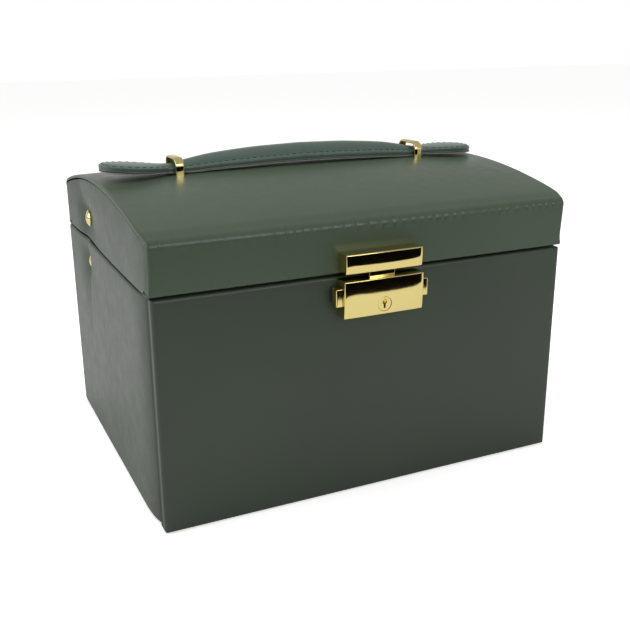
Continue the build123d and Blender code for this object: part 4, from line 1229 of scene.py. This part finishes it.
def cut_bar(radius, z, low_y, high_y, steps=64):
    """A round bar along Y, in the middle of the case, used as a cutter."""
    turns = [2 * math.pi * k / steps for k in range(steps)]
    points = [(radius * math.cos(a), y, z + radius * math.sin(a)) for y in (low_y, high_y) for a in turns]
    return outward(add_piece("cutter", points, tube_faces(2, steps)))


def cut(piece, cutters):
    """Take each cutter away from a piece, and delete the cutters."""
    for cutter in cutters:
        step = piece.modifiers.new("cut", "BOOLEAN")
        step.operation = "DIFFERENCE"
        step.solver = "EXACT"
        step.object = cutter
    apply_modifiers(piece)
    for cutter in cutters:
        bpy.data.objects.remove(cutter)
    piece.data.set_sharp_from_angle(angle=sharp_angle)
    return piece


# %% The lock's housing, cut out for the tabs, the tongue and the key plug
housing = lock_block("lock_housing", "lock_housing_casting", crest=0.5)
housing_wall = 1.2 * mm
tab_room = 0.15 * mm
plug_room = 0.22 * mm
house_low, house_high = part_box("lock_housing")
tongue_low, tongue_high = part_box("lock_tongue")
tongue_room = 0.3 * mm
tab_low, tab_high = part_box("squeeze_tab_right")
stop_low, stop_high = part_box("spring_stops")
plug_z = middle_of("key_plug", 2)
plug_radius = 3.8 * mm
tab_top = tab_high.z - 1.0 * mm
beyond = 2 * mm
cavity_half = house_high.x - housing_wall
cutters = [
    cut_box(
        (-cavity_half, house_low.y + housing_wall, stop_low.z),
        (cavity_half, house_high.y + beyond, house_high.z - housing_wall),
    ),
    cut_box(
        (-tongue_high.x - tongue_room, tongue_low.y - 0.4 * mm, stop_high.z),
        (tongue_high.x + tongue_room, house_high.y + beyond, house_high.z + beyond),
    ),
    cut_bar(plug_radius + plug_room, plug_z, house_low.y - beyond, house_high.y + beyond),
]
for side in sides.values():
    ends = sorted((side * (cavity_half - beyond), side * (house_high.x + beyond)))
    cutters.append(cut_box(
        (ends[0], tab_low.y - tab_room, tab_low.z - tab_room), (ends[1], tab_high.y + tab_room, tab_top + tab_room),
    ))
dress(cut(housing, cutters), "lock_housing")

# %% [markdown]
# What moves in the lock keeps the frame's own shape, so that it fits: the two squeeze tabs, the tongue that hangs
# from the lid and the plug that the key turns. Polishing rounds every edge of a casting, the tabs' most of all.

# %% Squeeze tabs, tongue and key plug
for label in sides:
    softened(f"squeeze_tab_{label}", 0.55 * mm, gold, segments=4)
softened("lock_tongue", 0.35 * mm, gold)
softened("key_plug", 0.22 * mm, gold)

# %% [markdown]
# Inside, all is board wrapped in velvet: the trays, their cells and the mirror's frame. Board wrapped in cloth
# has no sharp edge, so each piece is a copy of its node with its edges rounded by the cloth's own thickness. The
# walls' ends and tops, which show when the case stands open, carry the leather that is turned over them.

# %% Trays, linings and boards
cloth_round = 0.5 * mm
wrapped_round = 1.3 * mm
wall_round = 0.6 * mm
for tray in ("top_tray", "middle_drawer", "bottom_drawer"):
    softened(f"{tray}_lining", cloth_round, velvet)
    softened(tray, wrapped_round, velvet)
softened("mirror_board", cloth_round, velvet)
softened("mirror_frame", wrapped_round, velvet, segments=4)
for label, side in sides.items():
    softened(f"side_board_{label}", wall_round, case_leather, lined=((-side, 0, 0), velvet))
softened("back_board", wall_round, case_leather, lined=((0, -1, 0), velvet))
softened("front_board", cloth_round, velvet)
bare_boards = {"tray_blocks": 0.6 * mm, "drawer_runners": 0.3 * mm, "lid_top_board": 0.5 * mm, "base_board": 0.5 * mm}
for node, width in bare_boards.items():
    softened(node, width, board)

# %% [markdown]
# Rings are held between soft rolls: foam strips rolled in velvet, side by side, pressed into the tray. Each roll
# is a long pillow, round on top and drawn in at its ends, and no two lie exactly alike.

# %% Ring rolls
roll_low, roll_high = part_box("ring_rolls")
roll_count = 8
roll_gap = 2.2 * mm
roll_edge = 1.5 * mm
roll_depth = (roll_high.y - roll_low.y - (roll_count - 1) * roll_gap) / roll_count


def roll_height(x, y, middle, shift):
    """Height of a roll's top: round across, drawn down at its ends, a little uneven along."""
    across = min(1.0, abs(y - middle) / (roll_depth / 2))
    round_top = (1 - across**2.4) ** 0.5 - 1
    to_end = min(x - roll_low.x, roll_high.x - x)
    drawn = 1 - math.sqrt(max(0.0, 1 - (1 - min(1.0, to_end / (5 * mm))) ** 2))
    uneven = noise.noise(Vector((x / (16 * mm), shift, 2.0)))
    return roll_depth * 0.5 * round_top - 2.5 * mm * drawn + 0.35 * mm * uneven - 0.3 * mm


for k in range(roll_count):
    start = roll_low.y + k * (roll_depth + roll_gap)
    middle = start + roll_depth / 2
    roll = covered_panel(
        f"ring_roll_{k + 1}",
        spread(roll_low.x, roll_high.x, roll_edge, 60),
        lambda p, a=start: [a + roll_depth * (1 - math.cos(t)) / 2 for t in np.linspace(0.12, math.pi - 0.12, 22)],
        lambda x, y, m=middle, s=k: roll_height(x, y, m, s),
        lambda p, q, h: (p, q, roll_high.z + h),
        roll_low.z - roll_high.z, [roll_edge, roll_edge, 0.01 * mm, 0.01 * mm], [velvet], (0, 0, 1),
    )
    dress(roll, "ring_rolls", fill=0.8)

# %% [markdown]
# What the frame's own nodes still show, such as hinges, levers, springs and screws, takes its finish from the
# record's material slots.

# %% Materials of the pieces that come from the frame
node_materials = {
    "gold": gold, "steel": steel, "velvet": velvet, "board": board, "base_cloth": felt,
    "mirror_glass": mirror_glass, "leatherette": case_leather, "handle_leather": handle_leather,
}
for name, piece in frame["nodes"].items():
    piece.data.materials.clear()
    piece.data.materials.append(node_materials[slot_of[name]])
print("slots used:", sorted(set(slot_of.values())))
